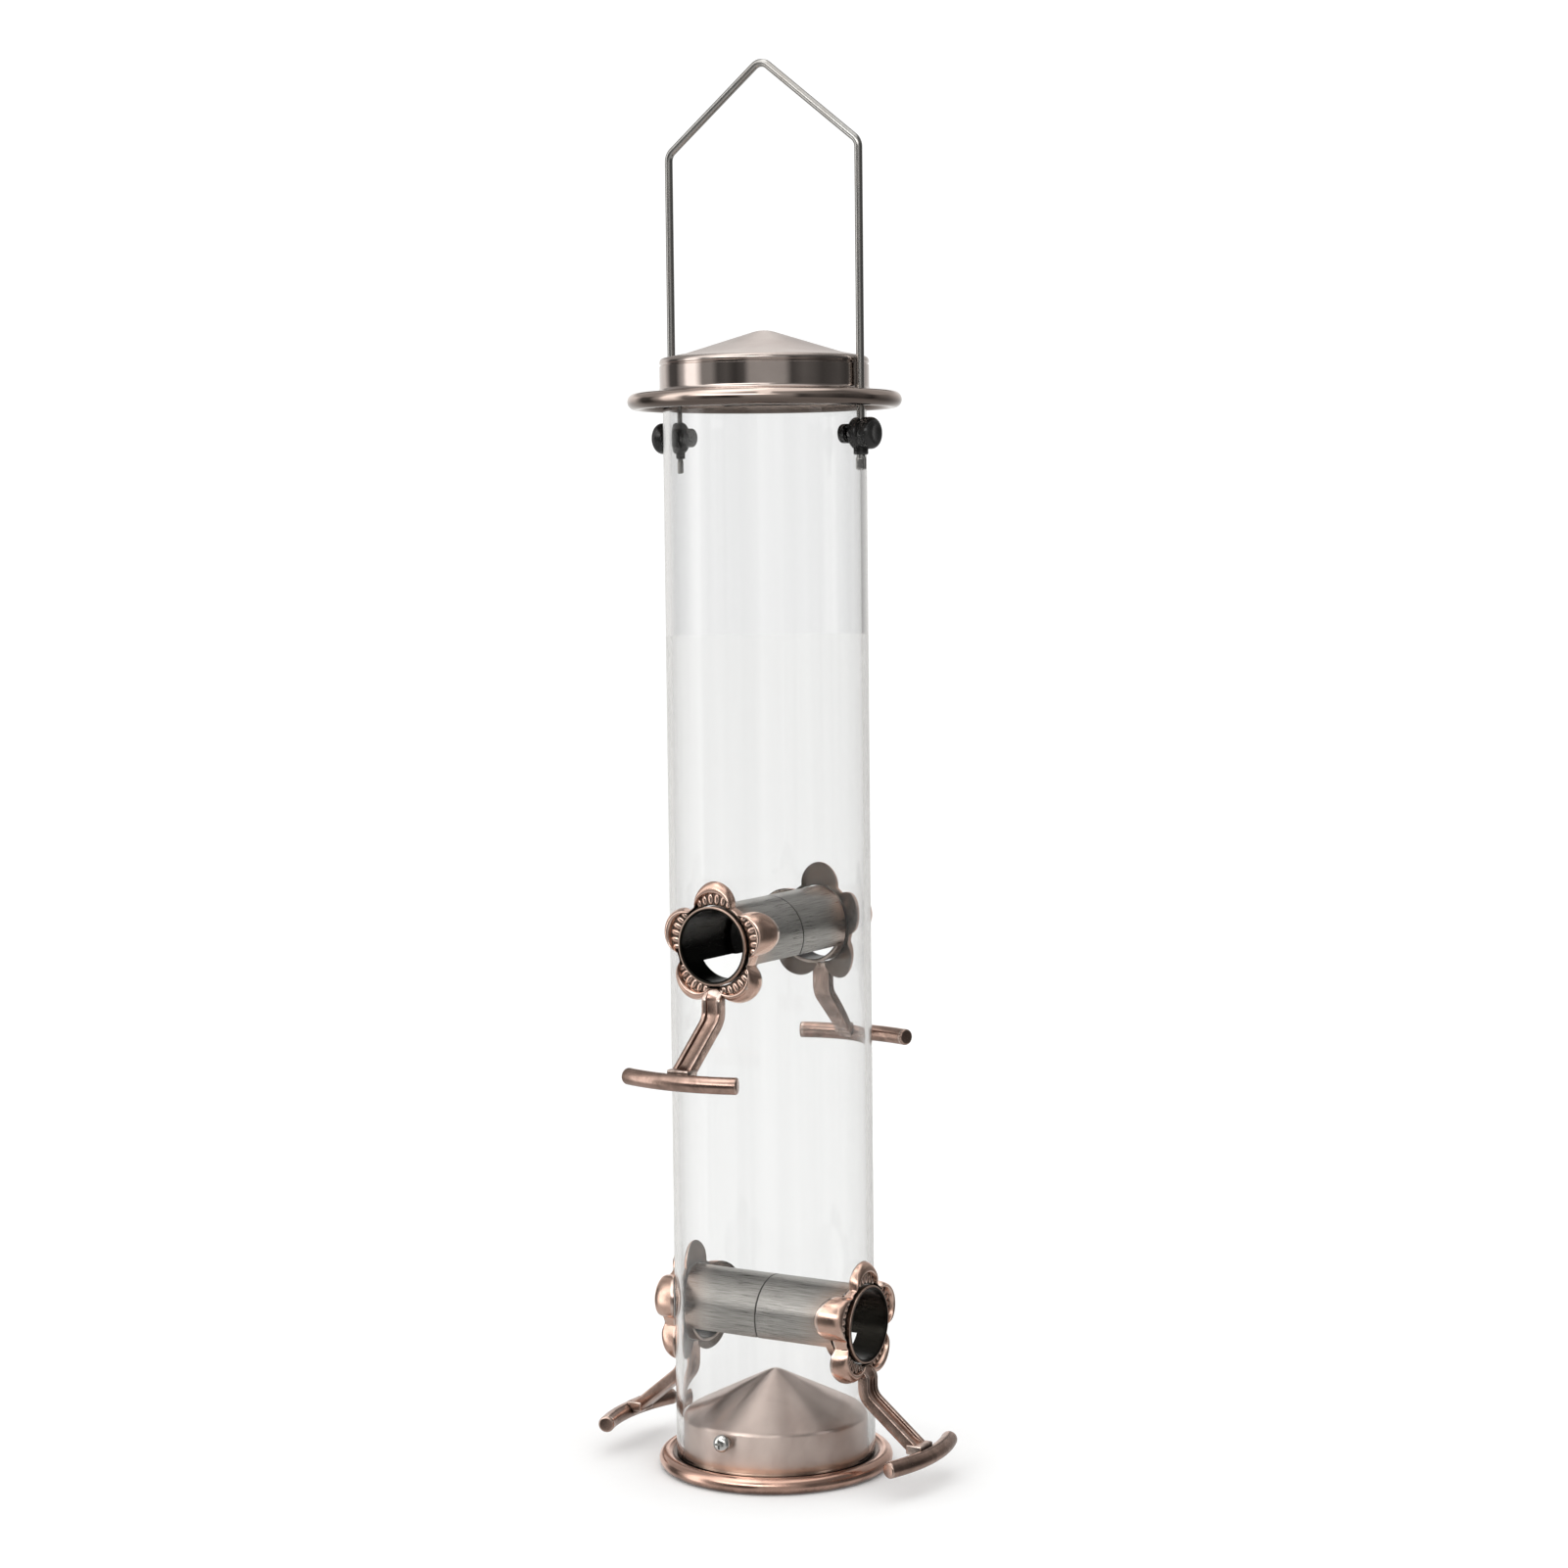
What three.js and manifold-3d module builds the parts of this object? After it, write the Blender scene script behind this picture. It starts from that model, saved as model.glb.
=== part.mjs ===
// A hanging tube bird feeder: a clear tube on a round foot, four flower-shaped feeding ports
// with bowed perches, and a lid that slides up the two legs of a bent wire hanger.
// Millimetres. The origin is under the middle of the foot, and +Z is up.
import * as THREE from "three";
import { mergeVertices } from "three/addons/utils/BufferGeometryUtils.js";
import Module from "manifold-3d";

const wasm = await Module();
wasm.setup();

const GAP = 0.3; // between two pieces that touch

const TUBE = { outer: 32, wall: 2, bottom: 4.6, top: 352.3 };
const TUBE_INNER = TUBE.outer - TUBE.wall;

const FOOT = { beadCentre: 35, beadRadius: 2.6, ledge: 4.3, wellRadius: 28, floor: 1.4 };

const CONE = { skirt: 29.6, wall: 0.8, shoulder: 17.8, apex: 31, tipRadius: 6, shoulderRadius: 1.6 };

const SCREW = { height: 14.3, shank: 1.35, head: 2.8, headTall: 2.2, hole: 1.7, tip: 25.6 };
const NUT = { across: 4.8, thick: 2, hole: 1.68, face: 28.2 };

// Each pair of ports lies on one line through the tube, and the two lines cross at a right angle.
const UPPER_TURN = 148.5;
const LOWER_TURN = UPPER_TURN + 90;
const UPPER_HEIGHT = 171.5;
const LOWER_HEIGHT = 49.3;
const PORTS = [
  { name: "upper_front", turn: UPPER_TURN, height: UPPER_HEIGHT, tongue: true },
  { name: "upper_back", turn: UPPER_TURN + 180, height: UPPER_HEIGHT, tongue: false },
  { name: "lower_right", turn: LOWER_TURN, height: LOWER_HEIGHT, tongue: true },
  { name: "lower_left", turn: LOWER_TURN + 180, height: LOWER_HEIGHT, tongue: false },
];

const SLEEVE = { outer: 12.25, inner: 11.1, mouth: 35.1, lipRadius: 12.9, lipBack: 34.3 };
const ARCH = { collarEnd: 25, cutHeight: -6 }; // open below cutHeight from the middle to collarEnd
const TONGUE = { outer: 10.8, inner: 9.9, reach: 6, root: 8 };
const TUBE_PORT_HOLE = SLEEVE.outer + 0.35;

const PETALS = 5;
const FLOWER = { bore: 12.55, face: 34, crown: 34.9, notch: 13.7, petalCentre: 13.1, petalRadius: 6.9 };
const FLOWER_BACK = TUBE.outer + 0.35;

const STEM = { width: 6.8, thick: 3.8, line: 34.2, top: -14, bendStart: -20, bendRadius: 6, lean: 51 };
const GROOVE = { width: 3.6, depth: 1.2 };
const BAR = { orbit: 56.2, height: -39.3, radius: 2.65, halfAngle: 20.9 };
const PAD = { width: 7.8, inner: 49.8, outer: 55.4, low: -38.8, high: -35.6 };

const LID = {
  apex: 361.9,
  tipRadius: 12,
  slope: 0.31,
  flareRadius: 25,
  roofEdge: 353.4,
  wall: 32.9,
  sheet: 0.55,
  shoulderRadius: 1.45,
  brim: 343,
  brimFillet: 1.2,
  beadCentre: 40.56,
  beadHeight: 339.9,
  beadRadius: 2.59,
};

const HANGER = { turn: LOWER_TURN, leg: 34.7, wire: 1.25, foot: 317.9, kink: 418.3, apex: 445.6, bend: 4 };
const FLAT_TIP = { wide: 3.4, thick: 1.3, tall: 4.4 };
const WIRE_HOLE = 1.6;
const BRIM_HOLE = 1.75;

const KNOB = { height: 329, radius: 4.95, back: 32.35, front: 40.4, stud: 1.4, studEnd: 26.6 };
const KNOB_WAIST = { depth: 0.5, start: 35.1, end: 36.5, slope: 0.4 };
const KNOB_COLLAR = { radius: 2.3, low: -6.6 };
const KNOB_NUT = { outer: 3, hole: 1.72, inner: 27.2, face: 29.5 };
const KNOB_TUBE_HOLE = 1.75;

const deg = THREE.MathUtils.degToRad;

// ---- geometry helpers -------------------------------------------------------------------------

// A closed three.js geometry as a solid that manifold-3d can join and cut.
function solid(geometry) {
  const bare = geometry.index ? geometry.toNonIndexed() : geometry.clone();
  bare.deleteAttribute("normal");
  bare.deleteAttribute("uv");
  const merged = mergeVertices(bare, 1e-4);
  const corners = merged.index.array;
  const kept = [];
  for (let i = 0; i < corners.length; i += 3) {
    const [a, b, c] = [corners[i], corners[i + 1], corners[i + 2]];
    if (a !== b && b !== c && c !== a) kept.push(a, b, c);
  }
  const make = (triVerts) =>
    new wasm.Manifold(
      new wasm.Mesh({ numProp: 3, vertProperties: merged.attributes.position.array, triVerts }),
    );
  const made = make(new Uint32Array(kept));
  return made.volume() < 0 ? make(new Uint32Array(kept.reverse())) : made;
}

function geometryOf(made) {
  const mesh = made.getMesh();
  const positions = new Float32Array(mesh.numVert * 3);
  for (let i = 0; i < mesh.numVert; i++) {
    positions.set(mesh.vertProperties.subarray(i * mesh.numProp, i * mesh.numProp + 3), i * 3);
  }
  const geometry = new THREE.BufferGeometry();
  geometry.setAttribute("position", new THREE.BufferAttribute(positions, 3));
  geometry.setIndex(new THREE.BufferAttribute(mesh.triVerts, 1));
  geometry.computeVertexNormals();
  return geometry;
}

// Points on a round stretch of a profile, from one angle to another in degrees.
function arc(x, y, radius, from, to, steps) {
  return Array.from({ length: steps + 1 }, (_, i) => {
    const a = deg(from + ((to - from) * i) / steps);
    return [x + radius * Math.cos(a), y + radius * Math.sin(a)];
  });
}

// A body of revolution about +Y from a list of [radius, distance along the axis].
function turnedAlongY(profile, segments) {
  return new THREE.LatheGeometry(profile.map(([r, y]) => new THREE.Vector2(r, y)), segments);
}

// The same about +Z.
function turned(profile, segments) {
  return turnedAlongY(profile, segments).rotateX(Math.PI / 2);
}

function closed(profile) {
  return [...profile, profile[0]];
}

// A rod along +Y from one distance to another.
function rodAlongY(radius, from, to, sides) {
  return new THREE.CylinderGeometry(radius, radius, to - from, sides).translate(0, (from + to) / 2, 0);
}

// A vertical rod beside the axis, at a distance along +Y.
function uprightRod(radius, y, low, high, sides) {
  return new THREE.CylinderGeometry(radius, radius, high - low, sides)
    .rotateX(Math.PI / 2)
    .translate(0, y, (low + high) / 2);
}

function block(width, [y0, y1], [z0, z1]) {
  return new THREE.BoxGeometry(width, y1 - y0, z1 - z0).translate(0, (y0 + y1) / 2, (z0 + z1) / 2);
}

// A geometry made about the local +Y axis, moved to its bearing and height on the tube.
function placed(geometry, turn, height) {
  return geometry.rotateZ(deg(turn)).translate(0, 0, height);
}

// A chain of straight runs whose rings sit exactly at its points.
class Route extends THREE.Curve {
  constructor(points) {
    super();
    this.points = points;
  }
  getPoint(t) {
    const last = this.points.length - 1;
    const i = Math.min(Math.floor(t * last), last - 1);
    return this.points[i].clone().lerp(this.points[i + 1], t * last - i);
  }
  getUtoTmapping(u) {
    return u;
  }
}

// Corner points with each inner corner rounded to one radius.
function rounded(corners, radius, steps) {
  const points = [corners[0]];
  for (let i = 1; i < corners.length - 1; i++) {
    const back = corners[i - 1].clone().sub(corners[i]).normalize();
    const ahead = corners[i + 1].clone().sub(corners[i]).normalize();
    const half = back.angleTo(ahead) / 2;
    const middle = back.clone().add(ahead).normalize();
    const centre = corners[i].clone().addScaledVector(middle, radius / Math.sin(half));
    const start = corners[i].clone().addScaledVector(back, radius / Math.tan(half)).sub(centre);
    const end = corners[i].clone().addScaledVector(ahead, radius / Math.tan(half)).sub(centre);
    for (let k = 0; k <= steps; k++) {
      points.push(start.clone().lerp(end, k / steps).setLength(radius).add(centre));
    }
  }
  return [...points, corners[corners.length - 1]];
}

function wire(points, radius, sides) {
  const section = new THREE.Shape().absarc(0, 0, radius, 0, 2 * Math.PI);
  return new THREE.ExtrudeGeometry(section, {
    extrudePath: new Route(points),
    steps: points.length - 1,
    curveSegments: sides / 2,
    bevelEnabled: false,
  });
}

// ---- finishes ---------------------------------------------------------------------------------

const FINISHES = {
  clear_tube: { color: 0xe9ecec, roughness: 0.06, metalness: 0 },
  copper_rim: { color: 0xb06a4c, roughness: 0.2, metalness: 1 },
  satin_copper: { color: 0xa8897c, roughness: 0.38, metalness: 1 },
  antique_copper: { color: 0x8d6a58, roughness: 0.28, metalness: 1 },
  sleeve_metal: { color: 0x77706a, roughness: 0.4, metalness: 1 },
  lid_copper: { color: 0x8f7568, roughness: 0.18, metalness: 1 },
  hanger_steel: { color: 0x8d8c88, roughness: 0.35, metalness: 1 },
  screw_steel: { color: 0xc9c9c6, roughness: 0.15, metalness: 1 },
  black_plastic: { color: 0x141414, roughness: 0.3, metalness: 0 },
};

function piece(name, made, finish) {
  const mesh = new THREE.Mesh(geometryOf(made), new THREE.MeshStandardMaterial(FINISHES[finish]));
  mesh.name = name;
  return mesh;
}

// A group whose +Y points out of the tube on one bearing, at one height.
function station(turn, height) {
  const group = new THREE.Group();
  group.rotation.z = deg(turn);
  group.position.z = height;
  return group;
}

// ---- tube, foot and cone ----------------------------------------------------------------------

function tube() {
  let made = solid(
    turned(
      closed([
        [TUBE_INNER, TUBE.bottom],
        [TUBE.outer, TUBE.bottom],
        [TUBE.outer, TUBE.top],
        [TUBE_INNER, TUBE.top],
      ]),
      64,
    ),
  );
  const hole = (radius, turn, height, sides) => {
    const cutter = rodAlongY(radius, TUBE_INNER - 4, TUBE.outer + 4, sides);
    made = made.subtract(solid(placed(cutter, turn, height)));
  };
  for (const port of PORTS) hole(TUBE_PORT_HOLE, port.turn, port.height, 32);
  for (const side of [0, 180]) {
    hole(SCREW.hole, UPPER_TURN + side, SCREW.height, 12);
    hole(KNOB_TUBE_HOLE, HANGER.turn + side, KNOB.height, 12);
  }
  return piece("feeder_tube", made, "clear_tube");
}

function baseTray() {
  const { beadCentre, beadRadius, ledge, wellRadius, floor } = FOOT;
  const profile = [
    [0, 0],
    ...arc(beadCentre, beadRadius, beadRadius, -90, 130, 8),
    [33, ledge],
    [wellRadius, ledge],
    [wellRadius, floor],
    [0, floor],
  ];
  return piece("base_tray", solid(turned(profile, 56)), "copper_rim");
}

function seedCone() {
  const { skirt, wall, shoulder, apex, tipRadius, shoulderRadius } = CONE;
  const bottom = FOOT.ledge + GAP;
  const slope = Math.atan2(apex - shoulder, skirt);
  const lean = THREE.MathUtils.radToDeg(slope);
  const tipDrop = tipRadius * (1 - Math.cos(slope));
  const profile = [
    [skirt, bottom],
    ...arc(skirt - shoulderRadius, shoulder - shoulderRadius, shoulderRadius, 0, 90 - lean, 3),
    [tipRadius * Math.sin(slope), apex - tipDrop],
    [tipRadius * Math.sin(slope / 2), apex - tipDrop / 4],
    [0, apex],
    [0, apex - wall],
    [skirt - shoulderRadius + 0.3, shoulder - wall],
    [skirt - wall, shoulder - shoulderRadius],
    [skirt - wall, bottom],
  ];
  // The profile crosses the axis at the tip, so it is turned from there and back to there.
  const tip = profile.findIndex(([r]) => r === 0);
  const ordered = [...profile.slice(tip + 1), ...profile.slice(0, tip + 1)];
  let made = solid(turned([[0, apex - wall], ...ordered], 56));
  for (const side of [0, 180]) {
    const cutter = rodAlongY(SCREW.hole, skirt - 4, skirt + 4, 12);
    made = made.subtract(solid(placed(cutter, UPPER_TURN + side, SCREW.height)));
  }
  return piece("seed_cone", made, "satin_copper");
}

// A pan-head machine screw along +Y with a cross recess, and its nut inside the skirt.
function baseScrew(name) {
  const { shank, head, headTall, tip } = SCREW;
  const seat = TUBE.outer + GAP;
  const profile = [
    [0, tip],
    [shank - 0.3, tip],
    [shank, tip + 0.5],
    [shank, seat],
    [head, seat],
    [head, seat + 0.5],
    [head * 0.86, seat + headTall * 0.68],
    [head * 0.5, seat + headTall * 0.94],
    [0, seat + headTall],
  ];
  let made = solid(turnedAlongY(profile, 20));
  for (const [width, tall] of [[3, 0.7], [0.7, 3]]) {
    const recess = block(width, [seat + 1, seat + headTall + 1], [-tall / 2, tall / 2]);
    made = made.subtract(solid(recess));
  }
  return piece(name, made, "screw_steel");
}

function baseNut(name) {
  const corner = NUT.across / Math.sqrt(3);
  const ring = closed([
    [NUT.hole, NUT.face - NUT.thick],
    [corner, NUT.face - NUT.thick],
    [corner, NUT.face],
    [NUT.hole, NUT.face],
  ]);
  return piece(name, solid(turnedAlongY(ring, 6).rotateY(Math.PI / 6)), "screw_steel");
}

// ---- feeding ports ----------------------------------------------------------------------------

function portSleeve(port) {
  const { outer, inner, mouth, lipRadius, lipBack } = SLEEVE;
  const below = block(4 * outer, [-20, ARCH.collarEnd], [-2 * outer, ARCH.cutHeight]);
  let made = solid(
    turnedAlongY(
      closed([
        [inner, GAP / 2],
        [outer, GAP / 2],
        [outer, lipBack],
        [lipRadius, lipBack],
        [lipRadius - 0.2, mouth - 0.2],
        [inner + 0.5, mouth],
        [inner, mouth - 0.4],
      ]),
      36,
    ),
  );
  if (port.tongue) {
    const tongue = closed([
      [TONGUE.inner, -TONGUE.reach],
      [TONGUE.outer, -TONGUE.reach],
      [TONGUE.outer, 2],
      [inner + 0.2, 2],
      [inner + 0.2, TONGUE.root],
      [TONGUE.inner, TONGUE.root],
    ]);
    made = made.add(solid(turnedAlongY(tongue, 36)));
  }
  return piece("port_sleeve_" + port.name, made.subtract(solid(below)), "sleeve_metal");
}

// How far the flower's edge is from the port's axis, at an angle from the top.
function petalEdge(angle) {
  const pitch = (2 * Math.PI) / PETALS;
  const off = angle - pitch * Math.round(angle / pitch);
  const side = FLOWER.petalCentre * Math.sin(off);
  const reach = FLOWER.petalRadius ** 2 - side ** 2;
  if (reach < 0) return FLOWER.notch;
  return Math.max(FLOWER.notch, FLOWER.petalCentre * Math.cos(off) + Math.sqrt(reach));
}

// Rings of the flower from the bore to the edge: how far out, and how much of the crown's height.
const PETAL_RINGS = [
  [0, null],
  [0.3, null],
  [0.45, 1],
  [0.68, 0.97],
  [0.86, 0.78],
  [0.97, 0.45],
  [1, 0.12],
];

// A ring with domed petals whose back follows the tube.
function portFlower(port) {
  const front = PETAL_RINGS.map(([out]) => [1 + out, 1]);
  const geometry = turnedAlongY(closed([...front, [2, 0], [1, 0]]), PETALS * 10);
  const place = geometry.getAttribute("position");
  for (let i = 0; i < place.count; i++) {
    const across = place.getX(i);
    const up = place.getZ(i);
    const angle = Math.atan2(across, up);
    const out = Math.hypot(across, up) - 1;
    const radius = FLOWER.bore + out * (petalEdge(angle) - FLOWER.bore);
    const x = radius * Math.sin(angle);
    const back = Math.sqrt(FLOWER_BACK ** 2 - x ** 2);
    const share = PETAL_RINGS.find(([ring]) => Math.abs(ring - out) < 1e-3)[1];
    const edge = back + 0.4;
    const face = share === null ? FLOWER.face : edge + share * (FLOWER.crown - edge);
    place.setXYZ(i, x, place.getY(i) > 0.5 ? face : back, radius * Math.cos(angle));
  }
  const stemSlot = block(STEM.width + 2 * GAP, [FLOWER_BACK - 8, FLOWER.crown + 2], [-25, STEM.top + GAP]);
  return piece("port_flower_" + port.name, solid(geometry).subtract(solid(stemSlot)), "antique_copper");
}

// The side outline of a strap between two offsets from the stem's middle line.
function strapOutline(back, front, extra) {
  const { line, top, bendStart, bendRadius, lean } = STEM;
  const out = Math.sin(deg(lean));
  const down = Math.cos(deg(lean));
  const end = [line + bendRadius * (1 - down), bendStart - bendRadius * out];
  const run = (BAR.orbit - (BAR.radius + GAP) * out - end[0]) / out + extra;
  const foot = [end[0] + run * out, end[1] - run * down];
  const side = (offset) => [
    [line + offset, top + extra],
    ...arc(line + bendRadius, bendStart, bendRadius - offset, 180, 180 + lean, 4),
    [foot[0] + offset * down, foot[1] + offset * out],
  ];
  return new THREE.Shape([...side(back), ...side(front).reverse()].map(([y, z]) => new THREE.Vector2(y, z)));
}

// A side outline given in y and z, made as thick as asked along x about the middle.
function slab(shape, width, bevel) {
  const geometry = new THREE.ExtrudeGeometry(shape, {
    depth: width - 2 * bevel,
    bevelEnabled: bevel > 0,
    bevelThickness: bevel,
    bevelSize: bevel,
    bevelOffset: -bevel,
    bevelSegments: 1,
  });
  geometry.translate(0, 0, -(width - 2 * bevel) / 2);
  const turn = new THREE.Matrix4().makeBasis(
    new THREE.Vector3(0, 1, 0),
    new THREE.Vector3(0, 0, 1),
    new THREE.Vector3(1, 0, 0),
  );
  return geometry.applyMatrix4(turn);
}

function perchStem(port) {
  const half = STEM.thick / 2;
  const strap = solid(slab(strapOutline(-half, half, 0), STEM.width, 0.6));
  const groove = solid(slab(strapOutline(half - GROOVE.depth, half + 2, 3), GROOVE.width, 0));
  const pad = solid(block(PAD.width, [PAD.inner, PAD.outer], [PAD.low, PAD.high]));
  const seat = new THREE.CylinderGeometry(BAR.radius + GAP, BAR.radius + GAP, 3 * PAD.width, 24)
    .rotateZ(Math.PI / 2)
    .translate(0, BAR.orbit, BAR.height);
  const made = strap.subtract(groove).add(pad).subtract(solid(seat));
  return piece("perch_stem_" + port.name, made, "antique_copper");
}

// The cross bar follows a circle about the tube's axis.
function perchBar(port) {
  const steps = 8;
  const points = Array.from({ length: steps + 1 }, (_, i) => {
    const a = deg(BAR.halfAngle * ((2 * i) / steps - 1));
    return new THREE.Vector3(BAR.orbit * Math.sin(a), BAR.orbit * Math.cos(a), BAR.height);
  });
  return piece("perch_bar_" + port.name, solid(wire(points, BAR.radius, 12)), "antique_copper");
}

// ---- lid --------------------------------------------------------------------------------------

function lid() {
  const L = LID;
  const tipAngle = Math.atan(L.slope);
  const tipEdge = L.tipRadius * Math.sin(tipAngle);
  const tipDrop = L.tipRadius * (1 - Math.cos(tipAngle));
  const flare = L.apex - tipDrop - L.slope * (L.flareRadius - tipEdge);
  const edge = L.wall - L.shoulderRadius;
  const profile = [
    [0, L.apex],
    [tipEdge / 2, L.apex - tipDrop / 4],
    [tipEdge, L.apex - tipDrop],
    [L.flareRadius, flare],
    ...arc(edge, L.roofEdge - L.shoulderRadius, L.shoulderRadius, 80, 0, 3),
    ...arc(L.wall + L.brimFillet, L.brim + L.brimFillet, L.brimFillet, 180, 270, 2),
    ...arc(L.beadCentre, L.beadHeight, L.beadRadius, 90, -200, 11),
    [L.beadCentre - L.beadRadius + 0.3, L.brim - 0.3 - L.sheet],
    [L.wall - L.sheet, L.brim - L.sheet],
    ...arc(edge, L.roofEdge - L.shoulderRadius, L.shoulderRadius - L.sheet, 0, 80, 2),
    [L.flareRadius, flare - L.sheet],
    [0, L.apex - L.sheet - 0.2],
  ];
  let made = solid(turned(profile, 52));
  for (const side of [-1, 1]) {
    const cutter = uprightRod(BRIM_HOLE, side * HANGER.leg, L.brim - 3, L.brim + 2, 16);
    made = made.subtract(solid(placed(cutter, HANGER.turn, 0)));
  }
  return piece("lid_cap", made, "lid_copper");
}

// ---- hanger -----------------------------------------------------------------------------------

function hanger() {
  const at = (y, z) => new THREE.Vector3(0, y, z);
  const { leg, foot, kink, apex, bend } = HANGER;
  const corners = [at(-leg, foot), at(-leg, kink), at(0, apex), at(leg, kink), at(leg, foot)];
  let made = solid(wire(rounded(corners, bend, 4), HANGER.wire, 12));
  for (const side of [-1, 1]) {
    const y = side * leg;
    const half = FLAT_TIP.wide / 2;
    const tip = block(FLAT_TIP.thick, [y - half, y + half], [foot - 0.2, foot - 0.2 + FLAT_TIP.tall]);
    made = made.add(solid(tip));
  }
  return piece("hanger_wire", made, "hanger_steel");
}

// A waisted plastic spool whose own stud goes through the tube, bored for the hanger's leg.
function hangerKnob(name) {
  const { radius, back, front, stud, studEnd } = KNOB;
  const waist = KNOB_WAIST;
  const profile = [
    [0, studEnd],
    [stud, studEnd],
    [stud, back],
    [radius - 0.9, back],
    [radius, back + 0.9],
    [radius, waist.start],
    [radius - waist.depth, waist.start + waist.slope],
    [radius - waist.depth, waist.end - waist.slope],
    [radius, waist.end],
    [radius, front - 1.8],
    [radius - 0.6, front - 0.6],
    [radius - 1.9, front],
    [0, front],
  ];
  const collar = uprightRod(KNOB_COLLAR.radius, HANGER.leg, KNOB_COLLAR.low, -3, 16);
  const bore = uprightRod(WIRE_HOLE, HANGER.leg, -3 * radius, 3 * radius, 16);
  const made = solid(turnedAlongY(profile, 24)).add(solid(collar)).subtract(solid(bore));
  return piece(name, made, "black_plastic");
}

function knobNut(name) {
  const { outer, hole, inner, face } = KNOB_NUT;
  const ring = closed([
    [hole, inner],
    [outer - 0.7, inner],
    [outer, inner + 0.8],
    [outer, face],
    [hole, face],
  ]);
  return piece(name, solid(turnedAlongY(ring, 20)), "black_plastic");
}

// ---- assembly ---------------------------------------------------------------------------------

const feeder = new THREE.Group();
feeder.add(tube(), baseTray(), seedCone(), lid());

for (const [side, end] of [[0, "front"], [180, "back"]]) {
  const spot = station(UPPER_TURN + side, SCREW.height);
  spot.add(baseScrew("base_screw_" + end), baseNut("base_nut_" + end));
  feeder.add(spot);
}

for (const port of PORTS) {
  const spot = station(port.turn, port.height);
  spot.add(portSleeve(port), portFlower(port), perchStem(port), perchBar(port));
  feeder.add(spot);
}

const bail = station(HANGER.turn, 0);
bail.add(hanger());
feeder.add(bail);

for (const [side, end] of [[0, "right"], [180, "left"]]) {
  const spot = station(HANGER.turn + side, KNOB.height);
  spot.add(hangerKnob("hanger_knob_" + end), knobNut("knob_nut_" + end));
  feeder.add(spot);
}

export default feeder;
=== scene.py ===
"""The looks of a hanging tube bird feeder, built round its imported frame.

A clear tube stands on a rolled copper foot. Four flower-shaped feeding ports with bowed perches sit on
two crossing sleeves, and a copper lid slides up the two legs of a bent wire hanger.
Sizes in the tables are in millimetres; meshes are made in metres.
"""

from math import atan, atan2, ceil, copysign, cos, degrees, dist, hypot, pi, radians, sin, sqrt
from types import SimpleNamespace as Named

import bmesh
import bpy
import numpy as np
from mathutils import Matrix, Vector


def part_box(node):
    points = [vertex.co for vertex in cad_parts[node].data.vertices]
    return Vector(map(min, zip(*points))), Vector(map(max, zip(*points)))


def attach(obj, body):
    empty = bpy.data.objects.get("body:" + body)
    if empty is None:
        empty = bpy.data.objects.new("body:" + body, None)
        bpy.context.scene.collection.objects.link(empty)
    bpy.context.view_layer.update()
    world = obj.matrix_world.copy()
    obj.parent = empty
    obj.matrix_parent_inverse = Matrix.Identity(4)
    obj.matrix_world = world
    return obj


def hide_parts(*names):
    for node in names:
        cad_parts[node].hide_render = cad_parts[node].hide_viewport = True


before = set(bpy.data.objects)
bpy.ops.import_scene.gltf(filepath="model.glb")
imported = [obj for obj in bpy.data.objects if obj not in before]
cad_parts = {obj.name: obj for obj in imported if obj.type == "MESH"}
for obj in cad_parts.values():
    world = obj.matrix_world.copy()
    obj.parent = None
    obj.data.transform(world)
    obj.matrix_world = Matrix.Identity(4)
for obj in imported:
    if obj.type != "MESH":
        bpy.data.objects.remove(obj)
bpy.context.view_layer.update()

MM = 0.001


def cad_box(node):
    """The lowest and highest corner of a CAD node, in millimetres."""
    low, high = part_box(node)
    return np.array(low) / MM, np.array(high) / MM


tube_low, tube_high = cad_box("feeder_tube")
foot_high = cad_box("base_tray")[1]
cone_low, cone_high = cad_box("seed_cone")
lid_high = cad_box("lid_cap")[1]

# ---- sizes ----

TUBE = Named(outer=tube_high[0], wall=2.0, bottom=tube_low[2], top=tube_high[2], rim=0.3)
FOOT = Named(bead_centre=foot_high[0] - 2.6, bead=2.6, ledge=4.3, well=28.0, floor=1.4)
CONE = Named(skirt=29.6, wall=0.8, bottom=cone_low[2], shoulder=17.8, apex=cone_high[2])
CONE_TIP, CONE_SHOULDER = 6.0, 1.6

UPPER_TURN, LOWER_TURN = 148.5, 238.5
PORTS = [
    ("upper_front", UPPER_TURN, 171.5, True),
    ("upper_back", UPPER_TURN + 180, 171.5, False),
    ("lower_right", LOWER_TURN, 49.3, True),
    ("lower_left", LOWER_TURN + 180, 49.3, False),
]
PORT_HOLE = 12.6
SLEEVE = Named(outer=12.25, inner=11.1, start=0.3, mouth=35.1, lip=12.35, lip_back=34.3)
ARCH = Named(collar=25.0, cut=-6.0)
TONGUE = Named(outer=10.8, inner=9.9, reach=6.0, root=8.0)
FLOWER = Named(bore=12.55, notch=13.7, centre=13.1, petal=6.9, back=32.35, crown=34.9, face=34.0)
PETALS = 5
FAN = Named(depth=0.7, end=0.49, ribs=6)
PETAL_SIZES = {
    "Bore": FLOWER.bore, "Notch": FLOWER.notch, "Petal_centre": FLOWER.centre, "Petal_radius": FLOWER.petal,
    "Back_radius": FLOWER.back, "Valley": 0.9, "Rib_start": 12.75, "Rib_length": 3.7, "Rib_width": 1.75,
    "Rib_height": FLOWER.face - FAN.depth + 0.05,
}
STEM = Named(width=6.8, thick=3.8, line=34.2, top=-13.2, bend_start=-20.0, bend=6.0, lean=51.0)
CHANNEL = Named(width=3.6, depth=1.2)
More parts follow.
